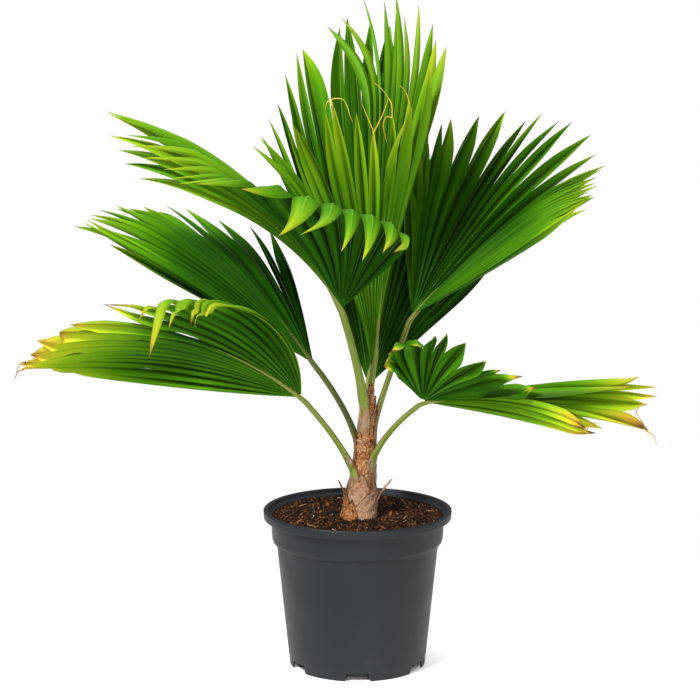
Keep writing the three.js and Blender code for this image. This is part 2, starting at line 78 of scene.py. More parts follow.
def through(places, rows, x):
    """a smooth curve through rows of values, read at every x"""
    places, rows, x = np.array(places), np.array(rows, float), np.asarray(x, float)
    last = len(places) - 1
    i = np.clip(np.searchsorted(places, x, side="left") - 1, 0, last - 1)
    before, after = np.maximum(np.arange(last + 1) - 1, 0), np.minimum(np.arange(last + 1) + 1, last)
    slopes = (rows[after] - rows[before]) / (places[after] - places[before])[:, None]
    h = (places[i + 1] - places[i])[:, None]
    t = (x[:, None] - places[i][:, None]) / h
    start = (2 * t**3 - 3 * t**2 + 1) * rows[i] + (t**3 - 2 * t**2 + t) * h * slopes[i]
    return start + (3 * t**2 - 2 * t**3) * rows[i + 1] + (t**3 - t**2) * h * slopes[i + 1]


# %% Mesh helpers
def mesh_object(name, points, faces, attributes=None, uv=None, crease=None):
    """an object at the origin from points in millimetres; attributes hold one number a point"""
    mesh = bpy.data.meshes.new(name)
    mesh.from_pydata((np.asarray(points) * MM).tolist(), [], faces)
    for key, values in (attributes or {}).items():
        layer = mesh.attributes.new(key, "FLOAT", "POINT")
        layer.data.foreach_set("value", np.asarray(values, np.float32))
    if uv is not None:
        corner = np.zeros(len(mesh.loops), np.int32)
        mesh.loops.foreach_get("vertex_index", corner)
        layer = mesh.uv_layers.new(name="OFBake")
        layer.data.foreach_set("uv", np.asarray(uv, np.float32)[corner].ravel())
    mesh.polygons.foreach_set("use_smooth", np.ones(len(mesh.polygons), bool))
    if crease:
        mesh.set_sharp_from_angle(angle=math.radians(crease))
    mesh.update()
    piece = bpy.data.objects.new(name, mesh)
    bpy.context.scene.collection.objects.link(piece)
    return piece


def finish_piece(piece, slot, *nodes):
    """the piece rides on the plant and stands for those solids, which it hides; slot is not used"""
    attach(piece, BODY)
    if nodes:
        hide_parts(*nodes)
    print(f"{piece.name}: {len(piece.data.polygons)} faces, for {list(nodes)}")


def stitched(sheet_faces, count):
    """faces of a closed thin shell: the sheet, its back (point + count) and a wall on every open edge"""
    back = [tuple(i + count for i in reversed(face)) for face in sheet_faces]
    open_edges = {}
    for face in sheet_faces:
        for a, b in zip(face, face[1:] + face[:1]):
            if (b, a) in open_edges:
                del open_edges[(b, a)]
            else:
                open_edges[(a, b)] = True
    walls = [(b, a, a + count, b + count) for a, b in open_edges]
    return sheet_faces + back + walls


# %% [markdown]
# ## The camera
# The camera stands 3.4 m in front of the plant and looks down at it by ten degrees through a long lens, so
# the rim of the pot shows as a flat ellipse. It looks at the middle of the plant, a little left of the pot.

# %% Camera
LENS_MM, SENSOR_MM = 120.0, 36.0
CAMERA_DISTANCE = 3.43
CAMERA_PITCH = math.radians(10.0)
LOOK_AT = Vector((-0.0112, 0.0, 0.475))

camera_data = bpy.data.cameras.new("camera")
camera_data.lens = LENS_MM
camera_data.sensor_width = SENSOR_MM
camera_data.clip_end = 50
camera = bpy.data.objects.new("camera", camera_data)
view_direction = Vector((0, math.cos(CAMERA_PITCH), -math.sin(CAMERA_PITCH)))
camera.location = LOOK_AT - CAMERA_DISTANCE * view_direction
camera.rotation_euler = view_direction.to_track_quat("-Z", "Y").to_euler()
bpy.context.scene.collection.objects.link(camera)
bpy.context.scene.camera = camera
print("camera at", [round(v, 2) for v in camera.location], "with a lens of", LENS_MM, "mm")

# %% [markdown]
# ## Node trees as recipes
# A finish is a tree of shader nodes, and a piece that repeats a shape is a tree of geometry nodes. Two small
# helpers write such trees down like recipes: Finish for a material and Making for geometry. Making also
# gives its tree named inputs, and turns what the tree made into a plain mesh, which is what can be exported.

# %% Node helpers
class NodeMaker:
    """adds nodes to a tree and links them, so that a tree is written from top to bottom like a recipe"""

    def node(self, kind, settings=None, **inputs):
        node = self.tree.nodes.new(kind)
        for key, value in (settings or {}).items():
            setattr(node, key, value)
        for key, value in inputs.items():
            self.feed(node, key, value)
        return node

    def feed(self, node, key, value):
        """an input is named by its label, with _ for a space, or by in0, in1 ... for its number"""
        by_number = key[:2] == "in" and key[2:].isdigit()
        socket = node.inputs[int(key[2:])] if by_number else node.inputs[key.replace("_", " ")]
        if isinstance(value, bpy.types.NodeSocket):
            self.tree.links.new(value, socket)
        else:
            socket.default_value = value

    def sum(self, operation, a, b=0.5, clamp=False):
        settings = {"operation": operation, "use_clamp": clamp}
        return self.node("ShaderNodeMath", settings, in0=a, in1=b).outputs[0]

    def vector(self, x, y, z):
        return self.node("ShaderNodeCombineXYZ", in0=x, in1=y, in2=z).outputs[0]

    def parts(self, vector):
        """x, y and z of a vector"""
        return self.node("ShaderNodeSeparateXYZ", in0=vector).outputs

    def arrow(self, operation, a, **others):
        """sums with whole vectors; a length comes out as one number"""
        node = self.node("ShaderNodeVectorMath", {"operation": operation}, in0=a, **others)
        return node.outputs["Value" if operation == "LENGTH" else "Vector"]

    def noise(self, vector, scale, detail=3.0, rough=0.55):
        node = self.node("ShaderNodeTexNoise", Vector=vector, Scale=scale, Detail=detail, Roughness=rough)
        return node.outputs[0]


class Finish(NodeMaker):
    """a material under construction"""

    def __init__(self, name):
        self.material = bpy.data.materials.new(name)
        self.material.use_nodes = True
        self.tree = self.material.node_tree
        self.shader = self.tree.nodes["Principled BSDF"]

    def read(self, attribute):
        return self.node("ShaderNodeAttribute", {"attribute_name": attribute}).outputs["Fac"]

    def about(self, value, size):
        """a noise value of 0 to 1 taken to between -size and size"""
        return self.sum("MULTIPLY", self.sum("SUBTRACT", value, 0.5), 2 * size)

    def ramp(self, value, stops):
        node = self.node("ShaderNodeValToRGB", in0=value)
        elements = node.color_ramp.elements
        while len(elements) < len(stops):
            elements.new(0.5)
        for element, (place, colour) in zip(elements, stops):
            element.position = place
            element.color = (*colour, 1)
        return node.outputs["Color"]

    def span(self, value, low, high, to_low=0.0, to_high=1.0):
        """value between low and high, taken to between to_low and to_high, eased and clamped"""
        settings = {"interpolation_type": "SMOOTHSTEP"}
        return self.node("ShaderNodeMapRange", settings, in0=value, in1=low, in2=high,
                         in3=to_low, in4=to_high).outputs[0]

    def mix(self, amount, a, b):
        """a colour between a and b; a mix node takes colours at its inputs 6 and 7 and gives output 2"""
        node = self.node("ShaderNodeMix", {"data_type": "RGBA"})
        self.feed(node, "in0", amount)
        self.feed(node, "in6", a if isinstance(a, bpy.types.NodeSocket) else (*a, 1))
        self.feed(node, "in7", b if isinstance(b, bpy.types.NodeSocket) else (*b, 1))
        return node.outputs[2]

    def place(self):
        return self.node("ShaderNodeTexCoord").outputs["Object"]

    def stretched(self, x, y, z):
        """object coordinates, stretched so that noise runs as streaks"""
        return self.node("ShaderNodeMapping", Vector=self.place(), Scale=(x, y, z)).outputs[0]

    def bump(self, height, strength, distance):
        node = self.node("ShaderNodeBump", Height=height, Strength=strength, Distance=distance)
        self.feed(self.shader, "Normal", node.outputs["Normal"])

    def set(self, **values):
        for key, value in values.items():
            self.feed(self.shader, key, value)


# %% Geometry Nodes helper
class Making(NodeMaker):
    """a Geometry Nodes tree under construction, with a named input for each of its sizes"""

    def __init__(self, name, **sizes):
        self.tree = bpy.data.node_groups.new(name, "GeometryNodeTree")
        self.tree.interface.new_socket("Geometry", in_out="INPUT", socket_type="NodeSocketGeometry")
        self.tree.interface.new_socket("Geometry", in_out="OUTPUT", socket_type="NodeSocketGeometry")
        self.sizes = sizes
        for key, value in sizes.items():
            kind = "NodeSocketInt" if isinstance(value, int) else "NodeSocketFloat"
            self.tree.interface.new_socket(key, in_out="INPUT", socket_type=kind)
        self.start = self.tree.nodes.new("NodeGroupInput").outputs

    def random(self, low, high, seed):
        node = self.node("FunctionNodeRandomValue", {"data_type": "FLOAT"}, in2=low, in3=high, Seed=seed)
        return node.outputs[1]

    def store(self, geometry, name, value, domain="POINT"):
        settings = {"data_type": "FLOAT", "domain": domain}
        node = self.node("GeometryNodeStoreNamedAttribute", settings, Geometry=geometry, Name=name,
                         Value=value)
        return node.outputs[0]

    def stored(self, name):
        return self.node("GeometryNodeInputNamedAttribute", {"data_type": "FLOAT"}, Name=name).outputs[0]

    def position(self):
        return self.node("GeometryNodeInputPosition").outputs[0]

    def moved(self, geometry, **inputs):
        return self.node("GeometryNodeSetPosition", Geometry=geometry, **inputs).outputs[0]

    def strewn(self, name, base, points, shape, rotation, scale, seed, material):
        """the shape on every point, each with a tone of its own from 0 to 1"""
        copies = self.node("GeometryNodeInstanceOnPoints", Points=points, Instance=shape,
                           Rotation=rotation, Scale=scale).outputs[0]
        copies = self.store(copies, "tone", self.random(0.0, 1.0, seed), "INSTANCE")
        piece = self.result(name, base, copies, material)
        print(f"{name}: {len(piece.data.polygons)} faces")
        return piece

    def result(self, name, base, geometry, material):
        """runs the tree on the base object and returns what it made as a plain mesh object"""
        whole = self.node("GeometryNodeRealizeInstances", Geometry=geometry).outputs[0]
        dressed = self.node("GeometryNodeSetMaterial", Geometry=whole, Material=material).outputs[0]
        self.tree.links.new(dressed, self.node("NodeGroupOutput").inputs[0])
        modifier = base.modifiers.new(self.tree.name, "NODES")
        modifier.node_group = self.tree
        for item in self.tree.interface.items_tree:
            if item.in_out == "INPUT" and item.name in self.sizes:
                modifier[item.identifier] = self.sizes[item.name]
        evaluated = base.evaluated_get(bpy.context.evaluated_depsgraph_get())
        mesh = bpy.data.meshes.new_from_object(evaluated)
        mesh.name = name
        base.modifiers.remove(modifier)
        piece = bpy.data.objects.new(name, mesh)
        bpy.context.scene.collection.objects.link(piece)
        return piece


# %% [markdown]
# ## Floor and light
# A wide white floor fills the view, as in a product photo. It glows a little, so that it stays white, but
# less round the pot, where its shadow falls. One lamp from the upper left makes the pleats read, a weak one
# fills the right, and one shines down from behind.

# %% Floor
SHADE_FROM, SHADE_TO = 0.10, 0.17
WHITE_FROM, WHITE_AT = 0.30, 0.90
UNDER_POT, FOOT_EDGE = 0.090, 0.102
GLOW_UNDER_POT, GLOW_IN_SHADE, GLOW_CLEAR, GLOW_EXTRA = 0.05, 0.42, 0.90, 0.10
PALE_PAPER, DIM_PAPER, BLACK = (0.80, 0.80, 0.80), (0.25, 0.25, 0.25), (0.0, 0.0, 0.0)


def floor_material():
    """white that takes a shadow under the pot, and turns to pure white further out"""
    floor = Finish("white floor")
    far = floor.arrow("LENGTH", floor.place())
    white = floor.span(far, WHITE_FROM, WHITE_AT)
    clear = floor.span(far, SHADE_FROM, SHADE_TO)
    paper = floor.mix(clear, PALE_PAPER, DIM_PAPER)
    floor.set(Base_Color=floor.mix(white, paper, BLACK), Roughness=0.9)
    floor.set(Specular_IOR_Level=0.0, Emission_Color=(1, 1, 1, 1))
    glow = floor.span(far, SHADE_FROM, SHADE_TO, GLOW_IN_SHADE, GLOW_CLEAR)
    glow = floor.sum("MULTIPLY", glow, floor.span(far, UNDER_POT, FOOT_EDGE, GLOW_UNDER_POT, 1.0))
    extra = floor.sum("MULTIPLY", white, GLOW_EXTRA)
    floor.set(Emission_Strength=floor.sum("ADD", glow, extra))
    return floor.material


FLOOR_RADIUS = 80.0
FLOOR_SIDES = 64
turns = [2 * math.pi * k / FLOOR_SIDES for k in range(FLOOR_SIDES)]
floor_corners = [(FLOOR_RADIUS / MM * math.cos(a), FLOOR_RADIUS / MM * math.sin(a), 0) for a in turns]
floor = mesh_object("floor", floor_corners, [tuple(range(FLOOR_SIDES))])
floor.data.materials.append(floor_material())
print("floor:", FLOOR_RADIUS, "m in radius")

# %% Lamps and world
LAMPS = [
    # name, place, what it shines at, width, power in watts
    ("key lamp", (-1.6, -2.2, 2.7), (0, 0, 0.50), 0.6, 165),
    ("fill lamp", (0.9, -3.0, 1.0), (0, 0, 0.4), 1.4, 44),
    ("top lamp", (0.3, 0.9, 3.0), (0, 0, 0.4), 1.2, 45),
]
WORLD_STRENGTH = 0.26


def studio_lamp(name, place, target, size, power):
    data = bpy.data.lights.new(name, "AREA")
    data.size = size
    data.energy = power
    lamp = bpy.data.objects.new(name, data)
    lamp.location = place
    lamp.rotation_euler = (Vector(target) - Vector(place)).to_track_quat("-Z", "Y").to_euler()
    bpy.context.scene.collection.objects.link(lamp)


for lamp in LAMPS:
    studio_lamp(*lamp)

world = bpy.data.worlds.new("studio")
bpy.context.scene.world = world
world.use_nodes = True
sky = world.node_tree.nodes["Background"].inputs
sky["Color"].default_value = (1, 1, 1, 1)
sky["Strength"].default_value = WORLD_STRENGTH
bpy.context.scene.view_settings.view_transform = "Standard"
print(len(LAMPS), "lamps and a pale sky")

# %% [markdown]
# ## The pot
# A nursery pot is moulded in one piece: a tapered wall, a band, a rolled lip and a notched foot. It is a
# turned shape that follows a rule, so Geometry Nodes make it. The tree sweeps the profile round a circle,
# then puts every point where its own radius, height and turn say, and lifts the points in the notches.

# %% Pot profile
POT_HEIGHT, RIM_RADIUS, LIP_HEIGHT = 235.0, 140.0, 12.0
BAND_RADIUS, LEDGE_HEIGHT = 128.5, 188.0
BODY_TOP_RADIUS, BODY_FOOT_RADIUS = 120.5, 103.0
POT_WALL, INNER_RADIUS = 2.4, 127.2
UNDERSIDE, RECESS, CHANNEL_RADIUS, FLOOR_TOP = 0.6, 12.6, 89.0, 17.0
POT_SIDES, NOTCHES = 168, 6
NOTCH_HALF_TURN, NOTCH_HEIGHT, CHANNEL_HEIGHT = math.radians(9.0), 12.0, 4.5
SKIRT_RADIUS = CHANNEL_RADIUS + 2
ARC_STEPS, SAME_PLACE = 4, 2e-6


def rounded(corners):
    """a line of corners (across, up, radius), each turned into a short arc"""
    points = [np.array(corners[0][:2], float)]
    for before, corner, after in zip(corners, corners[1:], corners[2:]):
        here = np.array(corner[:2], float)
        back, ahead = unit(np.array(before[:2]) - here), unit(np.array(after[:2]) - here)
        for k in range(ARC_STEPS + 1):
            t = k / ARC_STEPS
            points.append(here + corner[2] * ((1 - t) ** 2 * back + t ** 2 * ahead))
    return points + [np.array(corners[-1][:2], float)]


pot_profile = rounded([
    (0, UNDERSIDE, 0),
    (CHANNEL_RADIUS, UNDERSIDE, 0.6),
    (CHANNEL_RADIUS, RECESS, 0.8),
    (BODY_FOOT_RADIUS - 3.6, RECESS, 1.0),
    (BODY_FOOT_RADIUS - 3.9, 0, 0.7),
    (BODY_FOOT_RADIUS - 1.5, 0, 0.9),
    (BODY_FOOT_RADIUS - 0.7, 13, 0.5),
    (BODY_FOOT_RADIUS, 14.5, 0.6),
    (BODY_TOP_RADIUS, LEDGE_HEIGHT - 2.6, 0.8),
    (BAND_RADIUS - 3.4, LEDGE_HEIGHT - 1.0, 1.6),
    (BAND_RADIUS - 1.5, LEDGE_HEIGHT + 4.0, 2.0),
    (BAND_RADIUS + 0.5, POT_HEIGHT - LIP_HEIGHT, 1.6),
    (RIM_RADIUS - 0.6, POT_HEIGHT - LIP_HEIGHT, 1.6),
    (RIM_RADIUS, POT_HEIGHT, 1.5),
    (RIM_RADIUS - 2.0, POT_HEIGHT, 0.3),
    (RIM_RADIUS - 2.7, POT_HEIGHT - 1.1, 0.3),
    (RIM_RADIUS - 5.2, POT_HEIGHT - 1.1, 0.3),
    (RIM_RADIUS - 5.8, POT_HEIGHT - 0.2, 0.3),
    (RIM_RADIUS - 7.0, POT_HEIGHT - 0.2, 0.5),
    (RIM_RADIUS - 8.5, POT_HEIGHT - 5, 1.4),
    (INNER_RADIUS, POT_HEIGHT - 9, 1.4),
    (BAND_RADIUS - POT_WALL, LEDGE_HEIGHT + 3, 2.0),
    (BODY_TOP_RADIUS - POT_WALL, LEDGE_HEIGHT - 4, 2.0),
    (BODY_FOOT_RADIUS - POT_WALL - 0.4, FLOOR_TOP, 1.5),
    (0, FLOOR_TOP, 0),
])
profile_edges = [(k, k + 1) for k in range(len(pot_profile) - 1)]
profile_mesh = bpy.data.meshes.new("pot profile")
profile_mesh.from_pydata([(r * MM, 0, z * MM) for r, z in pot_profile], profile_edges, [])
profile_object = bpy.data.objects.new("pot profile", profile_mesh)
bpy.context.scene.collection.objects.link(profile_object)
print("pot profile:", len(pot_profile), "points")


# %% Pot finish
ANTHRACITE, ANTHRACITE_PALE, DUST = (0.0080, 0.0102, 0.0130), (0.0118, 0.0142, 0.0174), (0.060, 0.060, 0.058)


def pot_material():
    pot = Finish("anthracite plastic")
    scuffs = pot.noise(pot.place(), 26.0, 5.0)
    cloud = pot.noise(pot.place(), 5.0, 3.0)
    grain = pot.noise(pot.place(), 900.0, 2.0)
    colour = pot.mix(pot.span(cloud, 0.30, 0.72), ANTHRACITE, ANTHRACITE_PALE)
    dusty = pot.span(scuffs, 0.56, 0.78, 0.0, 0.10)
    pot.set(Base_Color=pot.mix(dusty, colour, DUST), Specular_IOR_Level=0.34)
    pot.set(Roughness=pot.span(scuffs, 0.30, 0.70, 0.46, 0.54))
    pot.bump(grain, 0.10, 0.0003)
    return pot.material


# %% Turn the pot
turning = Making("turned pot", Sides=POT_SIDES, Notches=NOTCHES, Half_turn=NOTCH_HALF_TURN,
                 Notch_height=NOTCH_HEIGHT * MM, Channel_height=CHANNEL_HEIGHT * MM)
spot = turning.parts(turning.position())
outline = turning.node("GeometryNodeMeshToCurve", in0=turning.start["Geometry"]).outputs[0]
outline = turning.store(outline, "reach", spot[0])
outline = turning.store(outline, "height", spot[2])
circle = turning.node("GeometryNodeCurvePrimitiveCircle", Resolution=turning.start["Sides"]).outputs[0]
circle = turning.store(circle, "turn", turning.sum("ARCTAN2", spot[1], spot[0]))
swept = turning.node("GeometryNodeCurveToMesh", in0=circle, Profile_Curve=outline).outputs[0]
turn_now, radius_now, height_now = (turning.stored(name) for name in ("turn", "reach", "height"))
share = turning.sum("DIVIDE", 2 * math.pi, turning.start["Notches"])
from_front = turning.sum("ADD", turn_now, math.pi / 2)
from_notch = turning.sum("WRAP", from_front, turning.sum("DIVIDE", share, 2))
turning.feed(from_notch.node, "in2", turning.sum("DIVIDE", share, -2.0))
in_notch = turning.sum("LESS_THAN", turning.sum("ABSOLUTE", from_notch), turning.start["Half_turn"])
outer = turning.sum("GREATER_THAN", radius_now, SKIRT_RADIUS * MM)
cut_skirt = turning.sum("MULTIPLY", outer, turning.start["Notch_height"])
cut = turning.sum("MAXIMUM", cut_skirt, turning.start["Channel_height"])
lifted = turning.sum("MAXIMUM", height_now, turning.sum("MULTIPLY", in_notch, cut))
place = turning.vector(turning.sum("MULTIPLY", radius_now, turning.sum("COSINE", turn_now)),
                       turning.sum("MULTIPLY", radius_now, turning.sum("SINE", turn_now)), lifted)
shell = turning.moved(swept, Position=place)
shell = turning.node("GeometryNodeMergeByDistance", Geometry=shell, Distance=SAME_PLACE).outputs[0]
pot = turning.result("nursery_pot", profile_object, shell, pot_material())
bpy.data.objects.remove(profile_object)


# %% Face the pot outwards
NO_LENGTH, POT_CREASE = 1e-7, 32


def face_outwards(piece, crease):
    """normals point out, and edges sharper than the crease, in degrees, stay crisp"""
    shape = bmesh.new()
    shape.from_mesh(piece.data)
    bmesh.ops.dissolve_degenerate(shape, dist=NO_LENGTH, edges=shape.edges)
    bmesh.ops.recalc_face_normals(shape, faces=shape.faces)
    shape.to_mesh(piece.data)
    shape.free()
    piece.data.polygons.foreach_set("use_smooth", np.ones(len(piece.data.polygons), bool))
    piece.data.set_sharp_from_angle(angle=math.radians(crease))


face_outwards(pot, POT_CREASE)
finish_piece(pot, "pot", "pot")

# %% [markdown]
# ## The potting mix
# The mix is bark, peat and coir: dark crumbs, orange-brown fibres, a few pale strands and white grains of
# perlite. One bumpy body fills the pot. Geometry Nodes then scatter each kind of crumb over its top, with a
# seed of its own, because thousands of small shapes by hand would take forever.

# %% Body of the mix
SOIL_TOP = POT_HEIGHT - 12.0
SOIL_RADIUS, RISE_TO_WALL = 126.6, 3.0
SOIL_RINGS, SOIL_SPOKES = 64, 150
SOIL_FOOT = FLOOR_TOP + 0.5
UNDER_RIM, UNDER_BAND, AT_LEDGE, AT_FOOT = SOIL_RADIUS - 0.6, 125.6, 117.6, 100.0
# Lumps of three sizes: rise, width, seed
SOIL_LUMPS = [(1.8, 26, 3), (2.2, 9, 5), (1.2, 3.6, 7)]


def rough_height(x, y, size, seed):
    """gentle lumps, from -1 to 1, at that size in millimetres"""
    return noise.noise(Vector((x / size, y / size, seed)))


def soil_height(x, y):
    r = math.hypot(x, y)
    lumps = sum(rise * rough_height(x, y, size, seed) for rise, size, seed in SOIL_LUMPS)
    return SOIL_TOP + lumps + RISE_TO_WALL * (r / SOIL_RADIUS) ** 2


def spoke_ends(r, k):
    """x and y of every spoke at radius r; each second ring is turned by half a spoke"""
    turns = [2 * math.pi * (s + 0.5 * (k % 2)) / SOIL_SPOKES for s in range(SOIL_SPOKES)]
    return [(r * math.cos(a), r * math.sin(a)) for a in turns]


def make_mix():
    points = [(0, 0, soil_height(0, 0))]
    for k in range(1, SOIL_RINGS + 1):
        points += [(x, y, soil_height(x, y)) for x, y in spoke_ends(SOIL_RADIUS * k / SOIL_RINGS, k)]
    wall = [(UNDER_RIM, SOIL_TOP - 14), (UNDER_BAND, LEDGE_HEIGHT + 4), (AT_LEDGE, LEDGE_HEIGHT - 5),
            (AT_FOOT, SOIL_FOOT)]
    for r, z in wall:
        points += [(x, y, z) for x, y in spoke_ends(r, SOIL_RINGS)]
    points.append((0, 0, SOIL_FOOT))
    faces = [(0, 1 + s, 1 + (s + 1) % SOIL_SPOKES) for s in range(SOIL_SPOKES)]
    for k in range(SOIL_RINGS + len(wall) - 1):
        for s in range(SOIL_SPOKES):
            a = 1 + k * SOIL_SPOKES + s
            b = 1 + k * SOIL_SPOKES + (s + 1) % SOIL_SPOKES
            faces.append((a, a + SOIL_SPOKES, b + SOIL_SPOKES, b))
    last = 1 + (SOIL_RINGS + len(wall) - 1) * SOIL_SPOKES
    faces += [(len(points) - 1, last + (s + 1) % SOIL_SPOKES, last + s) for s in range(SOIL_SPOKES)]
    return mesh_object("potting_mix_body", points, faces)


# %% Finishes of the mix
PEAT, BARK, FIBRE = (0.0065, 0.0030, 0.0016), (0.030, 0.0115, 0.0048), (0.190, 0.072, 0.020)
PALE_BIT = (0.070, 0.027, 0.010)


def mix_material():
    mix = Finish("damp peat")
    crumbs = mix.noise(mix.place(), 260.0, 4.0)
    mix.set(Base_Color=mix.ramp(crumbs, [(0.35, PEAT), (0.60, BARK), (0.80, PALE_BIT)]))
    mix.set(Roughness=0.95, Specular_IOR_Level=0.06)
    mix.bump(crumbs, 0.8, 0.002)
    return mix.material


def crumb_material(name, stops, roughness):
    crumb = Finish(name)
    fleck = crumb.about(crumb.noise(crumb.place(), 420.0, 3.0), 0.18)
    tone = crumb.sum("ADD", crumb.read("tone"), fleck, clamp=True)
    crumb.set(Base_Color=crumb.ramp(tone, stops), Roughness=roughness, Specular_IOR_Level=0.10)
    return crumb.material


# %% Scatter tree
CLEAR_OF_WALL, LEVEL_ENOUGH = 3, 0.78


def scatter(name, base, shape, density, seed, sizes, stretch, material, flat, lift=0.0):
    """grains over the top of base: sizes is the least and largest half width in millimetres"""
    least, largest = sizes
    making = Making(name, Density=float(density), Seed=seed, Least=least * MM, Largest=largest * MM)
    up = making.parts(making.node("GeometryNodeInputNormal").outputs[0])[2]
    away = making.arrow("LENGTH", making.arrow("MULTIPLY", making.position(), in1=(1.0, 1.0, 0.0)))
    clear = making.sum("LESS_THAN", away, (SOIL_RADIUS - CLEAR_OF_WALL - largest) * MM)
    top = making.sum("MULTIPLY", making.sum("GREATER_THAN", up, LEVEL_ENOUGH), clear)
    dots = making.node("GeometryNodeDistributePointsOnFaces", Mesh=making.start["Geometry"],
                       Selection=top, Density=making.start["Density"],
                       Seed=making.start["Seed"]).outputs[0]
    dots = making.moved(dots, Offset=(0.0, 0.0, lift * MM))
    grain = shape(making)
    tilt = making.vector(making.random(-flat, flat, 11), making.random(-flat, flat, 12),
                         making.random(0.0, 2 * math.pi, 13))
    size = making.random(making.start["Least"], making.start["Largest"], 14)
    scale = making.arrow("SCALE", stretch, Scale=size)
    return making.strewn(name, base, dots, grain, tilt, scale, 15, material)


def lump(making):
    """a rough pebble of 20 faces, one unit in radius"""
    ball = making.node("GeometryNodeMeshIcoSphere", Radius=1.0, Subdivisions=1).outputs[0]
    rough = making.node("ShaderNodeTexNoise", Vector=making.position(), Scale=1.3).outputs["Color"]
    return making.moved(ball, Offset=making.arrow("SUBTRACT", rough, in1=(0.5, 0.5, 0.5)))


def splinter(making):
    """a slender bowed splinter, five units each way along x"""
    rod = making.node("GeometryNodeMeshCylinder", Vertices=4, Side_Segments=4, Radius=1.0, Depth=10.0)
    lying = (0, math.pi / 2, 0)
    rod = making.node("GeometryNodeTransform", Geometry=rod.outputs[0], Rotation=lying).outputs[0]
    where = making.parts(making.position())
    bow = making.sum("MULTIPLY", making.sum("MULTIPLY", where[0], where[0]), -0.05)
    return making.moved(rod, Offset=making.vector(0.0, making.sum("MULTIPLY", bow, -1.4), bow))


# %% Fill the pot
mix_body = make_mix()
mix_body.data.materials.append(mix_material())
crumb_finish = crumb_material("bark crumbs", [
    (0.00, (0.006, 0.0025, 0.001)),
    (0.55, (0.018, 0.007, 0.003)),
    (0.85, BARK),
    (1.00, (0.170, 0.070, 0.024)),
], 0.85)
fibre_finish = crumb_material("coir fibres", [
    (0.00, (0.020, 0.007, 0.003)),
    (0.60, (0.070, 0.026, 0.009)),
    (0.88, FIBRE),
    (1.00, (0.480, 0.230, 0.090)),
], 0.7)
chip_finish = crumb_material("bark chips", [
    (0.00, PEAT),
    (0.50, (0.026, 0.010, 0.004)),
    (0.84, (0.085, 0.032, 0.010)),
    (1.00, (0.220, 0.086, 0.028)),
], 0.6)
perlite_finish = crumb_material("perlite", [(0.0, (0.36, 0.34, 0.30)), (1.0, (0.70, 0.69, 0.65))], 0.9)
straw_finish = crumb_material("straw", [(0.0, (0.330, 0.170, 0.075)), (1.0, (0.560, 0.340, 0.170))], 0.75)

# %% Scatter the grains
# Density a square metre, seed, half widths in millimetres, stretch, finish, tilt, lift in millimetres
crumbs = scatter("bark_crumbs", mix_body, lump, 130000, 1, (0.7, 2.2), (1.2, 1.0, 0.9), crumb_finish, 1.5)
fibres = scatter("coir_fibres", mix_body, splinter, 30000, 2, (0.22, 0.90), (1.0, 0.80, 0.5),
                 fibre_finish, 0.6, 0.8)
chips = scatter("bark_chips", mix_body, lump, 11000, 3, (1.5, 4.4), (1.9, 0.6, 0.40),
                chip_finish, 1.2, 0.6)
perlite = scatter("perlite_grains", mix_body, lump, 700, 4, (0.7, 1.5), (1.0, 0.9, 0.8),
                  perlite_finish, 3.0)
straws = scatter("straw_strands", mix_body, splinter, 170, 5, (1.1, 2.8), (1.0, 0.30, 0.30),
                 straw_finish, 0.3, 2.6)
finish_piece(mix_body, "potting_mix", "potting_mix")
for scattered in (crumbs, fibres, chips, perlite, straws):
    finish_piece(scattered, "potting_mix")
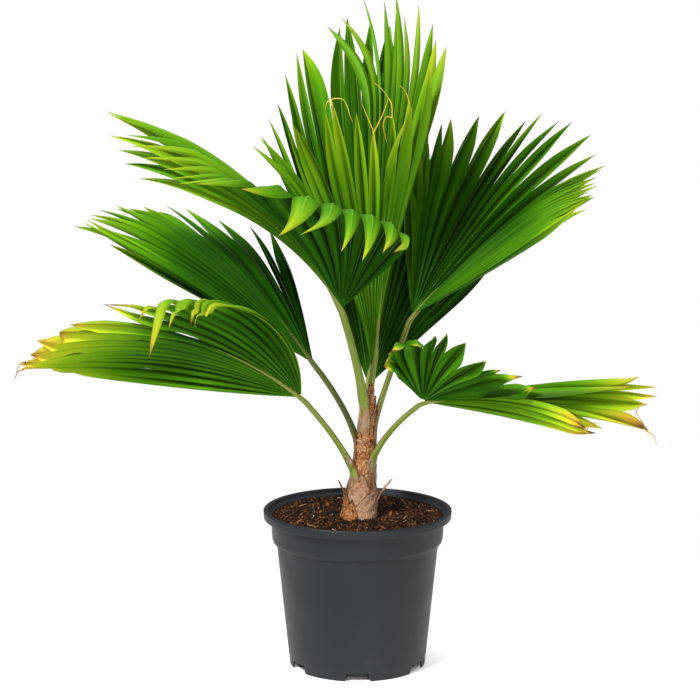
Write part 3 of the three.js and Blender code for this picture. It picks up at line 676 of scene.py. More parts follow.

# %% [markdown]
# ## The fronds
# A fan palm's blade is one pleated sheet. Its leaflets spread from the stalk's end like the ribs of a
# folding fan, are fused for a little over half their length, and then part into tapering tips. So each
# frond is told by a few guide leaflets: where they leave, how long they are, how they arch and how far
# their tips fold over. All the others lie on a smooth curve between them. This is the rule that the
# solids were made by, carried to finer pleats.

# %% The fronds' own sizes
# A guide leaflet: place across the fan, azimuth, rise, length, arch, fold of the tip. The hub is where all
# of them start, and heading and steep say which way they arch. Late makes them arch nearer their tips, and
# hook_at is where the tips fold over. Bundle keeps the feet of a young leaf's leaflets together.
# A split: place across the fan, how far up the leaflets are fused. A tear: a valley that parts sooner.
# A slit: a valley that is torn open from one fraction of its length to another. A trim: a shorter leaflet.
# Spread gives some leaflets more of the fan than others, and a bend swings one free tip aside. Blunt says
# how late the tips narrow, widest how much they may swell first, and pleat how deep the folds are.
# The stalk: where it leaves the trunk, its rise, its reach. The rib runs on into the blade as a fraction of
# its length. Clasp is the half angle of the stalk's foot, dry_to how far up it is brown, and fresh the two
# heights between which it stays green.
# A tint: place across the fan, age at the foot, where the tip starts to age, age at its end. Burnt is how
# much the very ends are browner, and shade darkens a stalk, partly to its own darker tone and partly as
# painted shade.
FRONDS = [
    {
        "name": "upper_right", "hub": (80, 20, 524), "heading": 35, "steep": 45,
        "split": [(0, 0.52), (0.45, 0.60), (0.6, 0.64), (0.8, 0.70), (1, 0.74)],
        "leaflets": 27, "spread": [(0, 0), (0.17, 0.175), (0.28, 0.365), (0.50, 0.56), (1, 1)],
        "blunt": [(0, 2.0), (0.45, 1.8), (0.58, 1.1), (1, 1.0)],
        "rib": 0.34, "rib_place": 0.56, "stalk": (320, 76, 0.40), "dry_to": 0.26,
        "widest": 1.4, "pleat": 0.95,
        "guides": [
            (0.00, 132, 83, 185, 10, 0),
            (0.13, 69, 75, 295, 14, 0),
            (0.35, 45, 55, 378, 16, 0),
            (0.46, 34, 48, 418, 18, 0),
            (0.54, 25, 41, 404, 20, 0),
            (0.70, 8, 42, 344, 20, 0),
            (1.00, 340, 30, 313, -12, 0),
        ],
        "tints": [(0.0, 0.14, 0.6, 0.36), (0.5, 0.16, 0.6, 0.38), (0.62, 0.16, 0.6, 0.38),
                  (0.93, 0.19, 0.6, 0.40), (1.0, 0.26, 0.6, 0.62)],
    },
    {
        "name": "arching_left", "hub": (-24, -70, 547), "heading": 186, "steep": 40,
        "split": [(0, 0.70), (0.3, 0.64), (0.5, 0.72), (1, 0.74)], "late": 1.0, "hook_at": 0.74,
        "leaflets": 21, "blunt": [(0, 1.3), (0.40, 1.3), (0.46, 0.8), (1, 0.8)],
        "spread": [(0, 0), (0.667, 0.455), (0.714, 0.555), (0.762, 0.64), (0.81, 0.705), (0.857, 0.765),
                   (1, 1)],
        "tears": {13: 0.74, 14: 0.77, 15: 0.78, 16: 0.78, 17: 0.78, 18: 0.78, 19: 0.78, 20: 0.78},
        "trims": {14: 0.98, 15: 1.0, 16: 0.95, 17: 0.98, 18: 1.0, 19: 0.94, 20: 0.92},
        "bends": {11: (0.0, -0.01), 12: (-0.02, -0.01), 13: (-0.04, -0.01), 14: (-0.03, -0.02),
                  15: (-0.09, 0.0), 16: (-0.14, 0.0), 17: (-0.05, 0.0), 18: (-0.05, 0.0),
                  19: (-0.06, 0.0), 20: (-0.12, 0.0)},
        "rib": 0.40, "rib_place": 0.30, "stalk": (364, 77, 0.45), "dry_to": 0.17, "clasp": 46,
        "shade": 0.25,
        "guides": [
            (0.00, 156, 58, 352, 56, 0),
            (0.09, 171, 62, 436, 55, 0),
            (0.18, 188, 67, 458, 54, 0),
            (0.38, 225, 58, 372, 36, 34),
            (0.50, 247, 57, 320, 24, 44),
            (0.60, 262, 54, 304, 18, 110),
            (0.73, 280, 48, 294, 10, 128),
            (0.87, 297, 43, 284, 8, 125),
            (1.00, 310, 36, 262, 8, 120),
        ],
        "tints": [(0.0, 0.32, 0.4, 0.44), (0.25, 0.30, 0.4, 0.46), (0.42, 0.11, 0.68, 0.56),
                  (0.9, 0.10, 0.68, 0.62), (1.0, 0.12, 0.66, 0.72)],
    },
    {
        "name": "middle_left", "hub": (-66, 30, 450), "heading": 180, "steep": 45,
        "split": [(0, 0.74), (0.5, 0.80), (0.7, 0.52), (1, 0.6)],
        "leaflets": 19, "spread": [(0, 0), (0.80, 0.56), (1, 1)], "blunt": 1.6,
        "tears": {2: 0.60, 5: 0.62, 8: 0.70, 14: 0.50, 15: 0.42, 16: 0.40, 17: 0.40, 18: 0.50},
        "rib": 0.34, "rib_place": 0.50, "stalk": (300, 80, 0.45), "shade": 0.9, "pleat": 0.95,
        "guides": [
            (0.00, 181, 31, 345, 4, 0),
            (0.06, 180, 34, 400, 4, 0),
            (0.14, 174, 38, 410, 18, 0),
            (0.31, 163, 45, 400, 26, 0),
            (0.56, 143, 48, 345, 24, 0),
            (0.77, 125, 51, 278, 18, 0),
            (1.00, 108, 60, 212, 12, 0),
        ],
        "tints": [(0.0, 0.12, 0.5, 0.54), (0.4, 0.06, 0.6, 0.40), (0.7, 0.02, 0.7, 0.20),
                  (1.0, 0.0, 0.7, 0.12)],
    },
    {
        "name": "low_left", "hub": (-82, -60, 416), "heading": 180, "steep": 50,
        "split": [(0, 0.98), (0.34, 0.96), (0.42, 0.84), (0.55, 0.76), (1, 0.76)],
        "late": 1.2, "hook_at": 0.74, "leaflets": 18, "spread": [(0, 0), (0.667, 0.54), (1, 1)],
        "blunt": [(0, 1.2), (0.5, 1.2), (0.56, 1.1), (1, 1.1)],
        "rib": 0.42, "rib_place": 0.42, "stalk": (268, 66, 0.45), "dry_to": 0.28, "fresh": (284, 303),
        "tears": {10: 0.66, 11: 0.60, 12: 0.56, 13: 0.62, 14: 0.72, 15: 0.70, 16: 0.76, 17: 0.78},
        "trims": {10: 0.90, 11: 0.94, 12: 0.86, 14: 0.88, 15: 0.88, 16: 0.87, 17: 0.87},
        "slits": {2: (0.52, 0.62), 3: (0.70, 0.80), 5: (0.56, 0.60), 6: (0.78, 0.86), 8: (0.62, 0.68),
                  9: (0.40, 0.60), 10: (0.46, 0.64)},
        "bends": {14: (-0.03, 0.0), 16: (-0.03, 0.0), 17: (-0.05, 0.0)},
        "guides": [
            (0.00, 180, 4, 345, -8, 0),
            (0.11, 184, 19, 405, 26, 0),
            (0.23, 189, 28, 420, 46, 0),
            (0.33, 196, 33, 400, 44, 0),
            (0.42, 203, 38, 372, 42, 0),
            (0.51, 210, 45, 365, 44, 0),
            (0.58, 217, 50, 368, 50, 80),
            (0.68, 230, 53, 368, 56, 95),
            (0.80, 246, 58, 352, 67, 92),
            (0.90, 259, 63, 338, 84, 75),
            (1.00, 277, 66, 331, 108, 50),
        ],
        "tints": [(0.0, 0.24, 0.50, 0.58), (0.3, 0.20, 0.50, 0.58), (0.5, 0.20, 0.56, 0.72),
                  (0.9, 0.20, 0.56, 0.70), (1.0, 0.54, 0.6, 0.68)],
        "burnt": 0.17,
    },
    {
        "name": "back", "hub": (17, 30, 417), "heading": 90, "steep": 30,
        "split": [(0, 0.60), (0.2, 0.66), (0.5, 0.72), (1, 0.64)], "leaflets": 24,
        "spread": [(0, 0), (0.104, 0.104), (0.146, 0.155), (0.187, 0.187), (0.23, 0.215), (0.271, 0.27),
                   (1, 1)],
        "blunt": 2.4, "rib": 0.30, "rib_place": 0.50, "stalk": (330, 82, 0.50), "widest": 1.6,
        "guides": [
            (0.00, 156, 65, 416, 6, 0),
            (0.10, 147, 68, 449, 6, 0),
            (0.19, 136, 72, 530, 6, 0),
            (0.27, 112, 75, 562, 4, 0),
            (0.35, 101, 77, 563, 2, 0),
            (0.44, 80, 77, 560, 2, 0),
            (0.52, 66, 72, 500, 8, 0),
            (0.65, 51, 65, 413, 12, 0),
            (0.81, 35, 54, 330, 14, 0),
            (1.00, 21, 39, 260, 14, 0),
        ],
        "tints": [(0.0, 0.16, 0.6, 0.34), (0.5, 0.16, 0.6, 0.32), (1.0, 0.10, 0.7, 0.28)],
    },
    {
        "name": "low_right", "hub": (95, -60, 409), "heading": 0, "steep": 60,
        "split": [(0, 0.84), (0.14, 0.80), (0.24, 0.68), (0.55, 0.66), (0.62, 0.82), (1, 0.84)],
        "leaflets": 20, "spread": [(0, 0), (0.40, 0.53), (0.45, 0.58), (1, 1)],
        "blunt": [(0, 3.2), (0.53, 3.0), (0.55, 1.1), (0.64, 1.4), (1, 1.4)],
        "tears": {8: 0.42, 9: 0.34, 10: 0.40, 12: 0.80, 14: 0.84, 16: 0.30}, "trims": {9: 0.66, 14: 0.93},
        "hook_at": 0.80, "rib": 0.30, "rib_place": 0.60, "stalk": (283, 68, 0.50),
        "guides": [
            (0.00, 193, 51, 80, 14, 60),
            (0.09, 209, 61, 125, 20, 110),
            (0.20, 266, 55, 152, 12, 40),
            (0.31, 283, 49, 170, 12, 0),
            (0.44, 301, 31, 178, 14, 0),
            (0.55, 316, 25, 190, 16, 0),
            (0.61, 340, 10, 280, 10, 0),
            (0.68, 346, 12, 335, 12, 0),
            (0.80, 349, 5, 348, 14, 0),
            (0.84, 348, 0, 325, 16, 0),
            (0.88, 340, 9, 254, 34, 0),
            (0.93, 340, 6, 254, 34, 0),
            (1.00, 347, -5, 262, 12, 0),
        ],
        "tints": [(0.0, 0.18, 0.8, 0.80), (0.2, 0.15, 0.92, 1.0), (0.5, 0.18, 0.92, 1.0),
                  (0.68, 0.30, 0.6, 0.66), (1.0, 0.42, 0.6, 0.74)],
    },
    {
        "name": "newest", "hub": (24, 0, 418), "heading": 270, "steep": 45,
        "split": [(0, 0.58), (0.5, 0.64), (0.65, 0.72), (1, 0.72)], "bundle": 0.25, "inner": 26,
        "dry_to": 0.8, "leaflets": 25, "blunt": 2.4, "widest": 1.8, "rib": 0.34, "rib_place": 0.50,
        "tears": {7: 0.50, 8: 0.46, 13: 0.50, 22: 0.56},
        "bends": {0: (-0.05, 0.06), 1: (-0.03, 0.05), 4: (0.0, 0.06), 9: (0.04, 0.05), 11: (-0.04, 0.04),
                  19: (0.05, 0.0), 22: (0.06, 0.05), 23: (0.10, 0.02), 24: (0.12, 0.0)},
        "guides": [
            (0.00, 165, 64, 420, 14, 0),
            (0.14, 202, 69, 429, 12, 0),
            (0.26, 237, 74, 456, 10, 0),
            (0.34, 270, 77, 425, 10, 0),
            (0.42, 297, 78, 442, 8, 0),
            (0.50, 327, 79, 456, 6, 0),
            (0.58, 5, 76, 517, 0, 0),
            (0.66, 31, 77, 562, 0, 0),
            (0.76, 54, 78, 572, 0, 0),
            (0.88, 77, 77, 592, 0, 0),
            (1.00, 97, 76, 575, 4, 0),
        ],
        "tints": [(0.0, 0.24, 0.6, 0.42), (0.3, 0.30, 0.55, 0.54), (0.6, 0.26, 0.6, 0.50),
                  (1.0, 0.24, 0.6, 0.46)],
    },
]
print(len(FRONDS), "fronds told by", sum(len(frond["guides"]) for frond in FRONDS), "guide leaflets")

# %% Lines of the leaflets
STEPS = 80
HOOK_SPAN = 0.075
USUAL_LATE = 1.6
BUNDLE_OPENS = 0.5


def blade_lines(frond, places):
    """a line of points for every place across the fan, in millimetres, and its length"""
    rows = [(*aim(a, r), length, arch, hook) for _, a, r, length, arch, hook in frond["guides"]]
    values = through([guide[0] for guide in frond["guides"]], rows, places)
    start, length, arch, hook = unit(values[:, :3]), values[:, 3], values[:, 4], values[:, 5]
    axis = unit(np.cross(start, aim(frond["heading"], -frond["steep"])))
    bundle = unit(sum(aim(a, r) for _, a, r, *_ in frond["guides"]))
    lines = [np.tile(np.array(frond["hub"], float), (len(places), 1))]
    for k in range(STEPS):
        t = (k + 0.5) / STEPS
        step = turn(start, axis, np.radians(arch) * t ** frond.get("late", USUAL_LATE))
        if "bundle" in frond:
            opened = frond["bundle"] + (1 - frond["bundle"]) * ease(t / BUNDLE_OPENS)
            step = unit(bundle * (1 - opened) + step * opened)
        lines.append(lines[-1] + step * length[:, None] / STEPS)
    lines = np.stack(lines, 1)
    if "hook_at" in frond:
        fold_tips(lines, int(frond["hook_at"] * STEPS), hook)
    return lines, length


def fold_tips(lines, first, hook):
    """past the hook each tip turns over towards the ground"""
    steps = np.diff(lines, axis=1)
    axis = unit(np.cross(steps[:, first], (0.0, 0.0, -1.0)))
    for k in range(first, STEPS):
        amount = ease((k - first + 0.5) / (HOOK_SPAN * STEPS))
        lines[:, k + 1] = lines[:, k] + turn(steps[:, k], axis, np.radians(hook) * amount)


def along_lines(lines, t):
    """points of every line at its own fractions t, one row of fractions a line"""
    x = np.clip(t, 0, 1) * STEPS
    k = np.minimum(x.astype(int), STEPS - 1)
    line = np.arange(len(lines))[:, None]
    part = (x - k)[..., None]
    return lines[line, k] * (1 - part) + lines[line, k + 1] * part


# %% [markdown]
# ## A pleated blade
# Across each leaflet run nine points: both edges, the middle rib and three between on each side. The rib
# lies low and the edges high, so every leaflet is a shallow gutter, as on the real leaf. Up to the split
# the edges of neighbours are the same points. Past it each leaflet narrows to its tip, sways a little and
# droops a little by its own seeded numbers. The sheet gets a back and a wall, so it is a closed thin shell.

# %% Habits of the leaflets
ROWS = 46
SPLIT_STRAY, OUTER_SPLIT = 0.04, 0.06
FUSED_ROWS, FREE_ROWS = 3, 3
HABITS = {
    # the least and the most: shares of the length, radians of twist, and steps of the leaf's age
    "trim": (0.0, 0.05),
    "sway": (-0.025, 0.025),
    "droop": (-0.03, 0.012),
    "twist": (-0.5, 0.5),
    "green": (-0.05, 0.05),
    "dry": (-0.14, 0.10),
}


def along_fan(pairs, places):
    return np.interp(places, [p for p, _ in pairs], [v for _, v in pairs])


def leaflet_habits(frond, places, seed):
    """what each leaflet does by itself, from seeded numbers"""
    rng = np.random.default_rng(seed)
    count = frond["leaflets"]
    split = along_fan(frond["split"], places[::2]) + rng.uniform(-SPLIT_STRAY, SPLIT_STRAY, count + 1)
    split[[0, -1]] -= OUTER_SPLIT
    for valley, fraction in frond.get("tears", {}).items():
        split[valley] = fraction
    habits = {habit: rng.uniform(least, most, count) for habit, (least, most) in HABITS.items()}
    habits["split"] = np.clip(np.round(split * ROWS), FUSED_ROWS, ROWS - FREE_ROWS).astype(int)
    habits["trim"] = 1 - habits["trim"]
    for leaflet, fraction in frond.get("trims", {}).items():
        habits["trim"][leaflet] = fraction
    for leaflet, (sideways, down) in frond.get("bends", {}).items():
        habits["sway"][leaflet] = sideways
        habits["droop"][leaflet] = down
    return habits


# %% Shape of the leaflets
COLUMNS = np.array([-1.0, -0.72, -0.36, -0.08, 0.0, 0.08, 0.36, 0.72, 1.0])
FOLD = np.interp(np.abs(COLUMNS), [0, 0.08, 0.36, 0.72, 1.0], [-1.0, -0.86, -0.20, 0.28, 1.0])
USUAL_PLEAT, PLEAT_GROWS = 0.64, 0.10
CALM, CALM_SPAN, CALM_HOOK = 0.75, 0.14, 60
USUAL_WIDEST, SLIM_SPAN = 1.15, 0.20
# Where there is no slit, one is written down that lies past the leaflet's end
SLIT_WIDTH, NO_SLIT = 0.26, (2, 3)
EARLY_SPLIT, EARLY_SPAN, SQUARE_SPAN = 0.40, 0.20, 0.25
HUB_GAP = 6.0
TINY = 1e-6


class Fan:
    """a blade under construction, first as if its leaflets never parted: one row of points a line"""

    def __init__(self, frond, seed):
        self.count = frond["leaflets"]
        even = np.linspace(0, 1, 2 * self.count + 1)
        self.places = along_fan(frond.get("spread", [(0, 0), (1, 1)]), even)
        blunt = frond["blunt"]
        self.blunt = along_fan(blunt, self.places) if isinstance(blunt, list) else np.full(len(even), blunt)
        self.habit = leaflet_habits(frond, self.places, seed)
        self.slits = frond.get("slits", {})
        self.widest = frond.get("widest", USUAL_WIDEST)
        self.rows = np.linspace(0, 1, ROWS + 1)
        self.lines, self.length = blade_lines(frond, self.places)
        self.inner = frond.get("inner", HUB_GAP) / self.length[:, None]
        self.smooth = along_lines(self.lines, self.inner + (1 - self.inner) * self.rows)
        self.across = np.gradient(self.smooth, axis=0)
        self.half = np.linalg.norm(self.across, axis=-1)
        self.ahead = unit(np.gradient(self.smooth, axis=1))
        self.normal = unit(np.cross(self.across, self.ahead))
        hook = along_fan([(guide[0], guide[5]) for guide in frond["guides"]], self.places)[:, None]
        near_hook = ease((self.rows - frond.get("hook_at", 1) + CALM_SPAN) / CALM_SPAN)
        calm = 1 - CALM * ease(hook / CALM_HOOK) * near_hook
        self.relief = frond.get("pleat", USUAL_PLEAT) * ease(self.rows / PLEAT_GROWS) * calm

    def middle(self, i, free):
        """the middle line of leaflet i, which follows its own tip, sways and droops where it is free"""
        ridge = 2 * i + 1
        reached = self.inner[ridge] + (self.habit["trim"][i] - self.inner[ridge]) * self.rows
        tip = along_lines(self.lines[ridge:ridge + 1], reached[None])[0]
        aside = self.across[ridge] / np.maximum(self.half[ridge], TINY)[:, None]
        swing = aside * self.habit["sway"][i] + self.normal[ridge] * self.habit["droop"][i]
        line = self.smooth[ridge] + (tip - self.smooth[ridge]) * ease(free)[:, None]
        return line + swing * self.length[ridge] * free[:, None] ** 2

    def reach(self, ridge, valley, fused, free):
        """from the middle line to the valley; leaflets that part early are cut square to their own line"""
        reach = self.smooth[valley] - self.smooth[ridge]
        slant = np.sum(reach * self.ahead[ridge], -1, keepdims=True) * self.ahead[ridge]
        early = 1 - ease((self.rows[fused] - EARLY_SPLIT) / EARLY_SPAN)
        return reach - slant * (early * ease(free / SQUARE_SPAN))[:, None]

    def narrowing(self, ridge, wide, fused, free, slit):
        """the share of its width that a leaflet keeps, down to nothing at its tip, and less at a slit"""
        slim = np.minimum(1, self.widest * wide[fused] / np.maximum(wide, TINY))
        slim = 1 + (slim - 1) * ease(free / SLIM_SPAN)
        narrow = (1 - free ** self.blunt[ridge]) * np.where(free > 0, slim, 1)
        low, high = slit
        return narrow * (1 - SLIT_WIDTH * np.sin(np.pi * np.clip((self.rows - low) / (high - low), 0, 1)))

    def column(self, i, c):
        """one line up leaflet i: its points, the way they face, and where it is slit"""
        side, hand, right = abs(COLUMNS[c]), np.sign(COLUMNS[c]), int(COLUMNS[c] > 0)
        ridge, valley = 2 * i + 1, 2 * (i + right)
        fused = self.habit["split"][i + right]
        free = np.clip((self.rows - self.rows[fused]) / (1 - self.rows[fused]), 0, 1)
        reach = self.reach(ridge, valley, fused, free)
        wide = np.linalg.norm(reach, axis=-1, keepdims=True)
        slit = self.slits.get(i + right, NO_SLIT)
        narrow = self.narrowing(ridge, wide[:, 0], fused, free, slit)
        facing = unit(self.normal[ridge] * (1 - side) + self.normal[valley] * side)
        turned_by = (self.habit["twist"][i] * free)[:, None]
        sideways = reach * np.cos(turned_by) + facing * hand * wide * np.sin(turned_by)
        facing = unit(facing * np.cos(turned_by) - reach / np.maximum(wide, TINY) * hand * np.sin(turned_by))
        width = self.half[ridge] * (1 - side) + self.half[valley] * side
        relief = self.relief[ridge] * (1 - side) + self.relief[valley] * side
        fold = relief * width * narrow * FOLD[c]
        spots = self.middle(i, free) + sideways * (side * narrow)[:, None] + facing * fold[:, None]
        return spots, facing, (self.rows > slit[0]) & (self.rows < slit[1])


# %% Blade mesh
BLADE_THICKNESS, TIP_THINNER = 0.8, 0.4


def sheet_faces(index):
    """four-sided faces between the lines of every leaflet, and a triangle at each tip"""
    faces = []
    for leaflet in index.tolist():
        for low, high in zip(leaflet, leaflet[1:]):
            for k in range(ROWS - 1):
                faces.append((low[k], high[k], high[k + 1], low[k + 1]))
            faces.append((low[ROWS - 1], high[ROWS - 1], low[ROWS]))
    return faces


def blade_sheet(frond, seed):
    """points, faces and named numbers of one blade; fused neighbours share the points of their edge"""
    fan = Fan(frond, seed)
    habit, rows = fan.habit, fan.rows
    index = np.zeros((fan.count, len(COLUMNS), ROWS + 1), int)
    points, backs, numbers = [], [], []
    for i in range(fan.count):
        place = fan.places[2 * i + 1]
        for c, a in enumerate(COLUMNS):
            spots, facing, slit = fan.column(i, c)
            strand = i + (a + 1) / 2
            for k in range(ROWS + 1):
                if c == 0 and i > 0 and k <= habit["split"][i] and not slit[k]:
                    index[i, c, k] = index[i - 1, -1, k]
                    continue
                if k == ROWS and c > 0:
                    index[i, c, k] = index[i, 0, k]
                    continue
                index[i, c, k] = len(points)
                thin = BLADE_THICKNESS * (1 - TIP_THINNER * rows[k]) / 2
                points.append(spots[k] + facing[k] * thin)
                backs.append(spots[k] - facing[k] * thin)
                numbers.append((rows[k], abs(a), strand, habit["green"][i], habit["dry"][i], place))
    return np.array(points + backs), stitched(sheet_faces(index), len(points)), np.array(numbers)


# %% Age of the leaf
BURNT_FROM, BURNT_SPAN, USUAL_BURNT = 0.91, 0.08, 0.10
OLDER_UPWARDS, TIP_SPAN = 0.06, 0.05


def blade_ages(frond, numbers):
    """age of the leaf at every point: 0 deep green, 0.4 lime, 0.7 yellow, 1 dry brown"""
    along, _, _, green, dry, place = numbers.T
    tints = frond["tints"]
    foot, start, end = (along_fan([(t[0], t[k]) for t in tints], place) for k in (1, 2, 3))
    tip = ease((along - start - green) / np.maximum(1 - start, TIP_SPAN))
    burnt = frond.get("burnt", USUAL_BURNT) * ease((along - BURNT_FROM) / BURNT_SPAN)
    return foot + green + OLDER_UPWARDS * along + (end + dry - foot) * tip + burnt


# %% One blade
BLADE_SEED = 100
leaflet_tips = {}
FRONT_U, BACK_U, U_SPAN = 0.005, 0.505, 0.485
LOW_V, V_SPAN = 0.01, 0.98


def both(values):
    """the same values for the front and the back of a sheet"""
    return np.concatenate([values, values])


def make_blade(frond, seed):
    points, faces, numbers = blade_sheet(frond, seed)
    ends = (numbers[:, 0] == 1) & (numbers[:, 1] == 1)
    leaflet_tips[frond["name"]] = points[:len(numbers)][ends]
    along, side, strand = numbers.T[:3]
    age = blade_ages(frond, numbers)
    u = strand / frond["leaflets"] * U_SPAN
    uv = np.stack([np.concatenate([u + FRONT_U, u + BACK_U]), both(LOW_V + V_SPAN * along)], -1)
    attributes = {"along": both(along), "side": both(side), "strand": both(strand), "age": both(age),
                  "face": np.repeat([1.0, 0.0], len(u))}
    return mesh_object(f"fan_{frond['name']}", points, faces, attributes, uv, crease=30)


# %% [markdown]
# ## Leaf finish
# A palm leaf is satin, greener above than below, with fine parallel veins and a paler middle rib. It ages
# from deep green through lime and yellow to dry brown, from the tip down. The mesh carries the age as a
# number at each point, so the colours have their place on the leaf and the shader only deals them out.
# The shader also paints shade: it darkens the gutters, the creases and the fold lines, and part of the
# underside's darker green is painted shade too.

# %% Leaf material
LEAF_AGES = [
    (0.00, (0.0070, 0.0450, 0.0015)),
    (0.16, (0.0220, 0.1050, 0.0022)),
    (0.34, (0.0800, 0.2450, 0.0040)),
    (0.50, (0.1950, 0.3850, 0.0080)),
    (0.66, (0.4200, 0.5100, 0.0170)),
    (0.80, (0.6000, 0.4300, 0.0320)),
    (0.92, (0.3050, 0.1300, 0.0260)),
    (1.00, (0.1000, 0.0420, 0.0140)),
]
MIDRIB_GREEN = (0.180, 0.400, 0.040)
# the dark green that is painted as shade in gutters, creases and fold lines
PAINTED_SHADE_GREEN = (0.0040, 0.0220, 0.0008)
GUTTER_SHADE_DEPTH, FOLD_SHADE_DEPTH = 0.93, 0.55
UNDERSIDE_GREEN_AND_SHADE = (0.030, 0.090, 0.004)
VEINS_ACROSS, VEINS_ALONG = 14.0, 3.0
STREAKS_ACROSS, STREAKS_ALONG = 4.5, 1.6


def leaf_material(name):
    leaf = Finish(name)
    strand, along = leaf.read("strand"), leaf.read("along")
    across, up = leaf.sum("MULTIPLY", strand, VEINS_ACROSS), leaf.sum("MULTIPLY", along, VEINS_ALONG)
    veins = leaf.noise(leaf.vector(across, up, 0.0), 1.0)
    wide = leaf.span(along, 0.55, 0.92, 1.0, 0.0)
    patches = leaf.noise(leaf.place(), 9.0, 4.0)
    across, up = leaf.sum("MULTIPLY", strand, STREAKS_ACROSS), leaf.sum("MULTIPLY", along, STREAKS_ALONG)
    streaks = leaf.noise(leaf.vector(across, up, 3.0), 1.0, 4.0, 0.6)
    drift = leaf.sum("ADD", leaf.about(patches, 0.10), leaf.sum("MULTIPLY", leaf.about(veins, 0.10), wide))
    drift = leaf.sum("ADD", drift, leaf.about(streaks, 0.16))
    age = leaf.sum("ADD", leaf.read("age"), drift, clamp=True)
    colour = leaf.ramp(age, LEAF_AGES)
    side, above = leaf.read("side"), leaf.read("face")
    below = leaf.sum("SUBTRACT", 1.0, above)
    # painted shade: each leaflet's gutter above and its creases below are darkened, less towards the tip
    gutter = leaf.sum("MULTIPLY", leaf.span(side, 0.66, 0.16), leaf.sum("MULTIPLY", above, GUTTER_SHADE_DEPTH))
    crease = leaf.sum("MULTIPLY", leaf.span(side, 0.42, 0.92), leaf.sum("MULTIPLY", below, GUTTER_SHADE_DEPTH))
    deep = leaf.span(along, 0.40, 0.95, 1.0, 0.40)
    colour = leaf.mix(leaf.sum("MULTIPLY", leaf.sum("MAXIMUM", gutter, crease), deep), colour, PAINTED_SHADE_GREEN)
    # painted shade: a thin dark line along the fold between leaflets, on both faces, fading out past the
    # split
    edge = leaf.span(side, 0.84, 0.98, 0.0, FOLD_SHADE_DEPTH)
    fold = leaf.sum("MULTIPLY", edge, leaf.span(along, 0.45, 0.75, 1.0, 0.0))
    colour = leaf.mix(fold, colour, PAINTED_SHADE_GREEN)
    midrib = leaf.sum("MULTIPLY", leaf.span(side, 0.10, 0.02), leaf.span(above, 0.0, 1.0, 0.55, 0.50))
    colour = leaf.mix(midrib, colour, MIDRIB_GREEN)
    # the underside is darker: partly its own duller green, partly painted shade
    colour = leaf.mix(leaf.sum("MULTIPLY", below, 0.30), colour, UNDERSIDE_GREEN_AND_SHADE)
    leaf.set(Base_Color=colour, Roughness=0.46, Specular_IOR_Level=0.03)
    leaf.bump(veins, leaf.sum("MULTIPLY", wide, 0.45), 0.0006)
    return leaf.material


leaf_finish = leaf_material("palm leaf")

# %% Make the blades
for number, frond in enumerate(FRONDS):
    fan = make_blade(frond, BLADE_SEED + number)
    newest = frond["name"] == "newest"
    fan.data.materials.append(leaf_finish)
    finish_piece(fan, "new_blade" if newest else "blade", f"blade_{frond['name']}")

# %% [markdown]
# ## The trunk
# A young fan palm's trunk is short and wrapped in the dry sheaths of old leaves, which overlap in Vs and
# fray into fibres. A core with bark relief goes in first. Then each old sheath is a thin curved shell on
# the trunk's own surface, in a spiral as the leaves grew, and the tips of the lowest stand off as boots.

# %% Trunk sizes
TRUNK_FOOT, TRUNK_TOP = 219.0, 428.0
TRUNK_SHAPE = [
    # height, radius, lean to the right
    (219.0, 24.0, 0.6),
    (228.0, 23.2, 2.0),
    (236.0, 21.5, 3.2),
    (252.0, 19.5, 5.4),
    (272.0, 18.2, 7.2),
    (292.0, 16.4, 9.2),
    (312.0, 14.0, 10.8),
    (332.0, 12.4, 12.0),
    (352.0, 11.2, 13.0),
    (370.0, 10.0, 14.4),
    (386.0, 8.4, 16.2),
    (404.0, 5.8, 18.4),
    (418.0, 4.0, 19.8),
    (430.0, 1.5, 21.0),
]


def trunk_at(z):
    """the trunk's radius at each height, and the middle of it"""
    z = np.asarray(z, float)
    heights = [row[0] for row in TRUNK_SHAPE]
    flat = np.clip(z.ravel(), heights[0], heights[-1])
    radius, lean = through(heights, [row[1:] for row in TRUNK_SHAPE], flat).T
    middle = np.stack([lean.reshape(z.shape), np.zeros(z.shape), z], -1)
    return radius.reshape(z.shape), middle


def fractal(points, size, seed):
    """bumpy noise of about -1 to 1 at every point"""
    flat = np.asarray(points, float).reshape(-1, 3) / size + seed
    values = [noise.fractal(Vector(p), 1.0, 2.0, 4) for p in flat]
    return np.array(values).reshape(np.asarray(points).shape[:-1])


# %% Shells on the trunk
SHEATH_ROWS, SHEATH_COLUMNS = 18, 21
SHEATH_NARROWS, SHEATH_POINT, SHEATH_SAG, SHEATH_TWIST = 0.99, 1.3, 0.10, 6
SHEATH_SKIN, SKIN_THINNER, STAND_POWER = 1.3, 0.6, 1.8
WRINKLE_SIZE, WRINKLE_RISE, WRINKLE_STRETCH = 7.0, 1.7, 0.35
EDGE_CURL, CURL_AT_FOOT = 1.3, 0.4
CORE_ROWS, CORE_SIDES = 110, 96
RING_GAP, RING_WAVE, RING_LOBES, RING_RISE = 13, 5, 3, 0.9
BARK_SIZE, BARK_RISE, BARK_STRETCH, BARK_AROUND, BARK_SEED = 5.0, 1.3, 0.35, 18, 4


def grid_faces(rows, columns, closed=False):
    faces = []
    for k in range(rows - 1):
        for c in range(columns if closed else columns - 1):
            a, b = k * columns + c, k * columns + (c + 1) % columns
            faces.append((a, b, b + columns, a + columns))
    return faces


def outwards(turned_to):
    """level unit vectors away from the trunk's middle"""
    return np.stack([np.cos(turned_to), np.sin(turned_to), np.zeros(turned_to.shape)], -1)


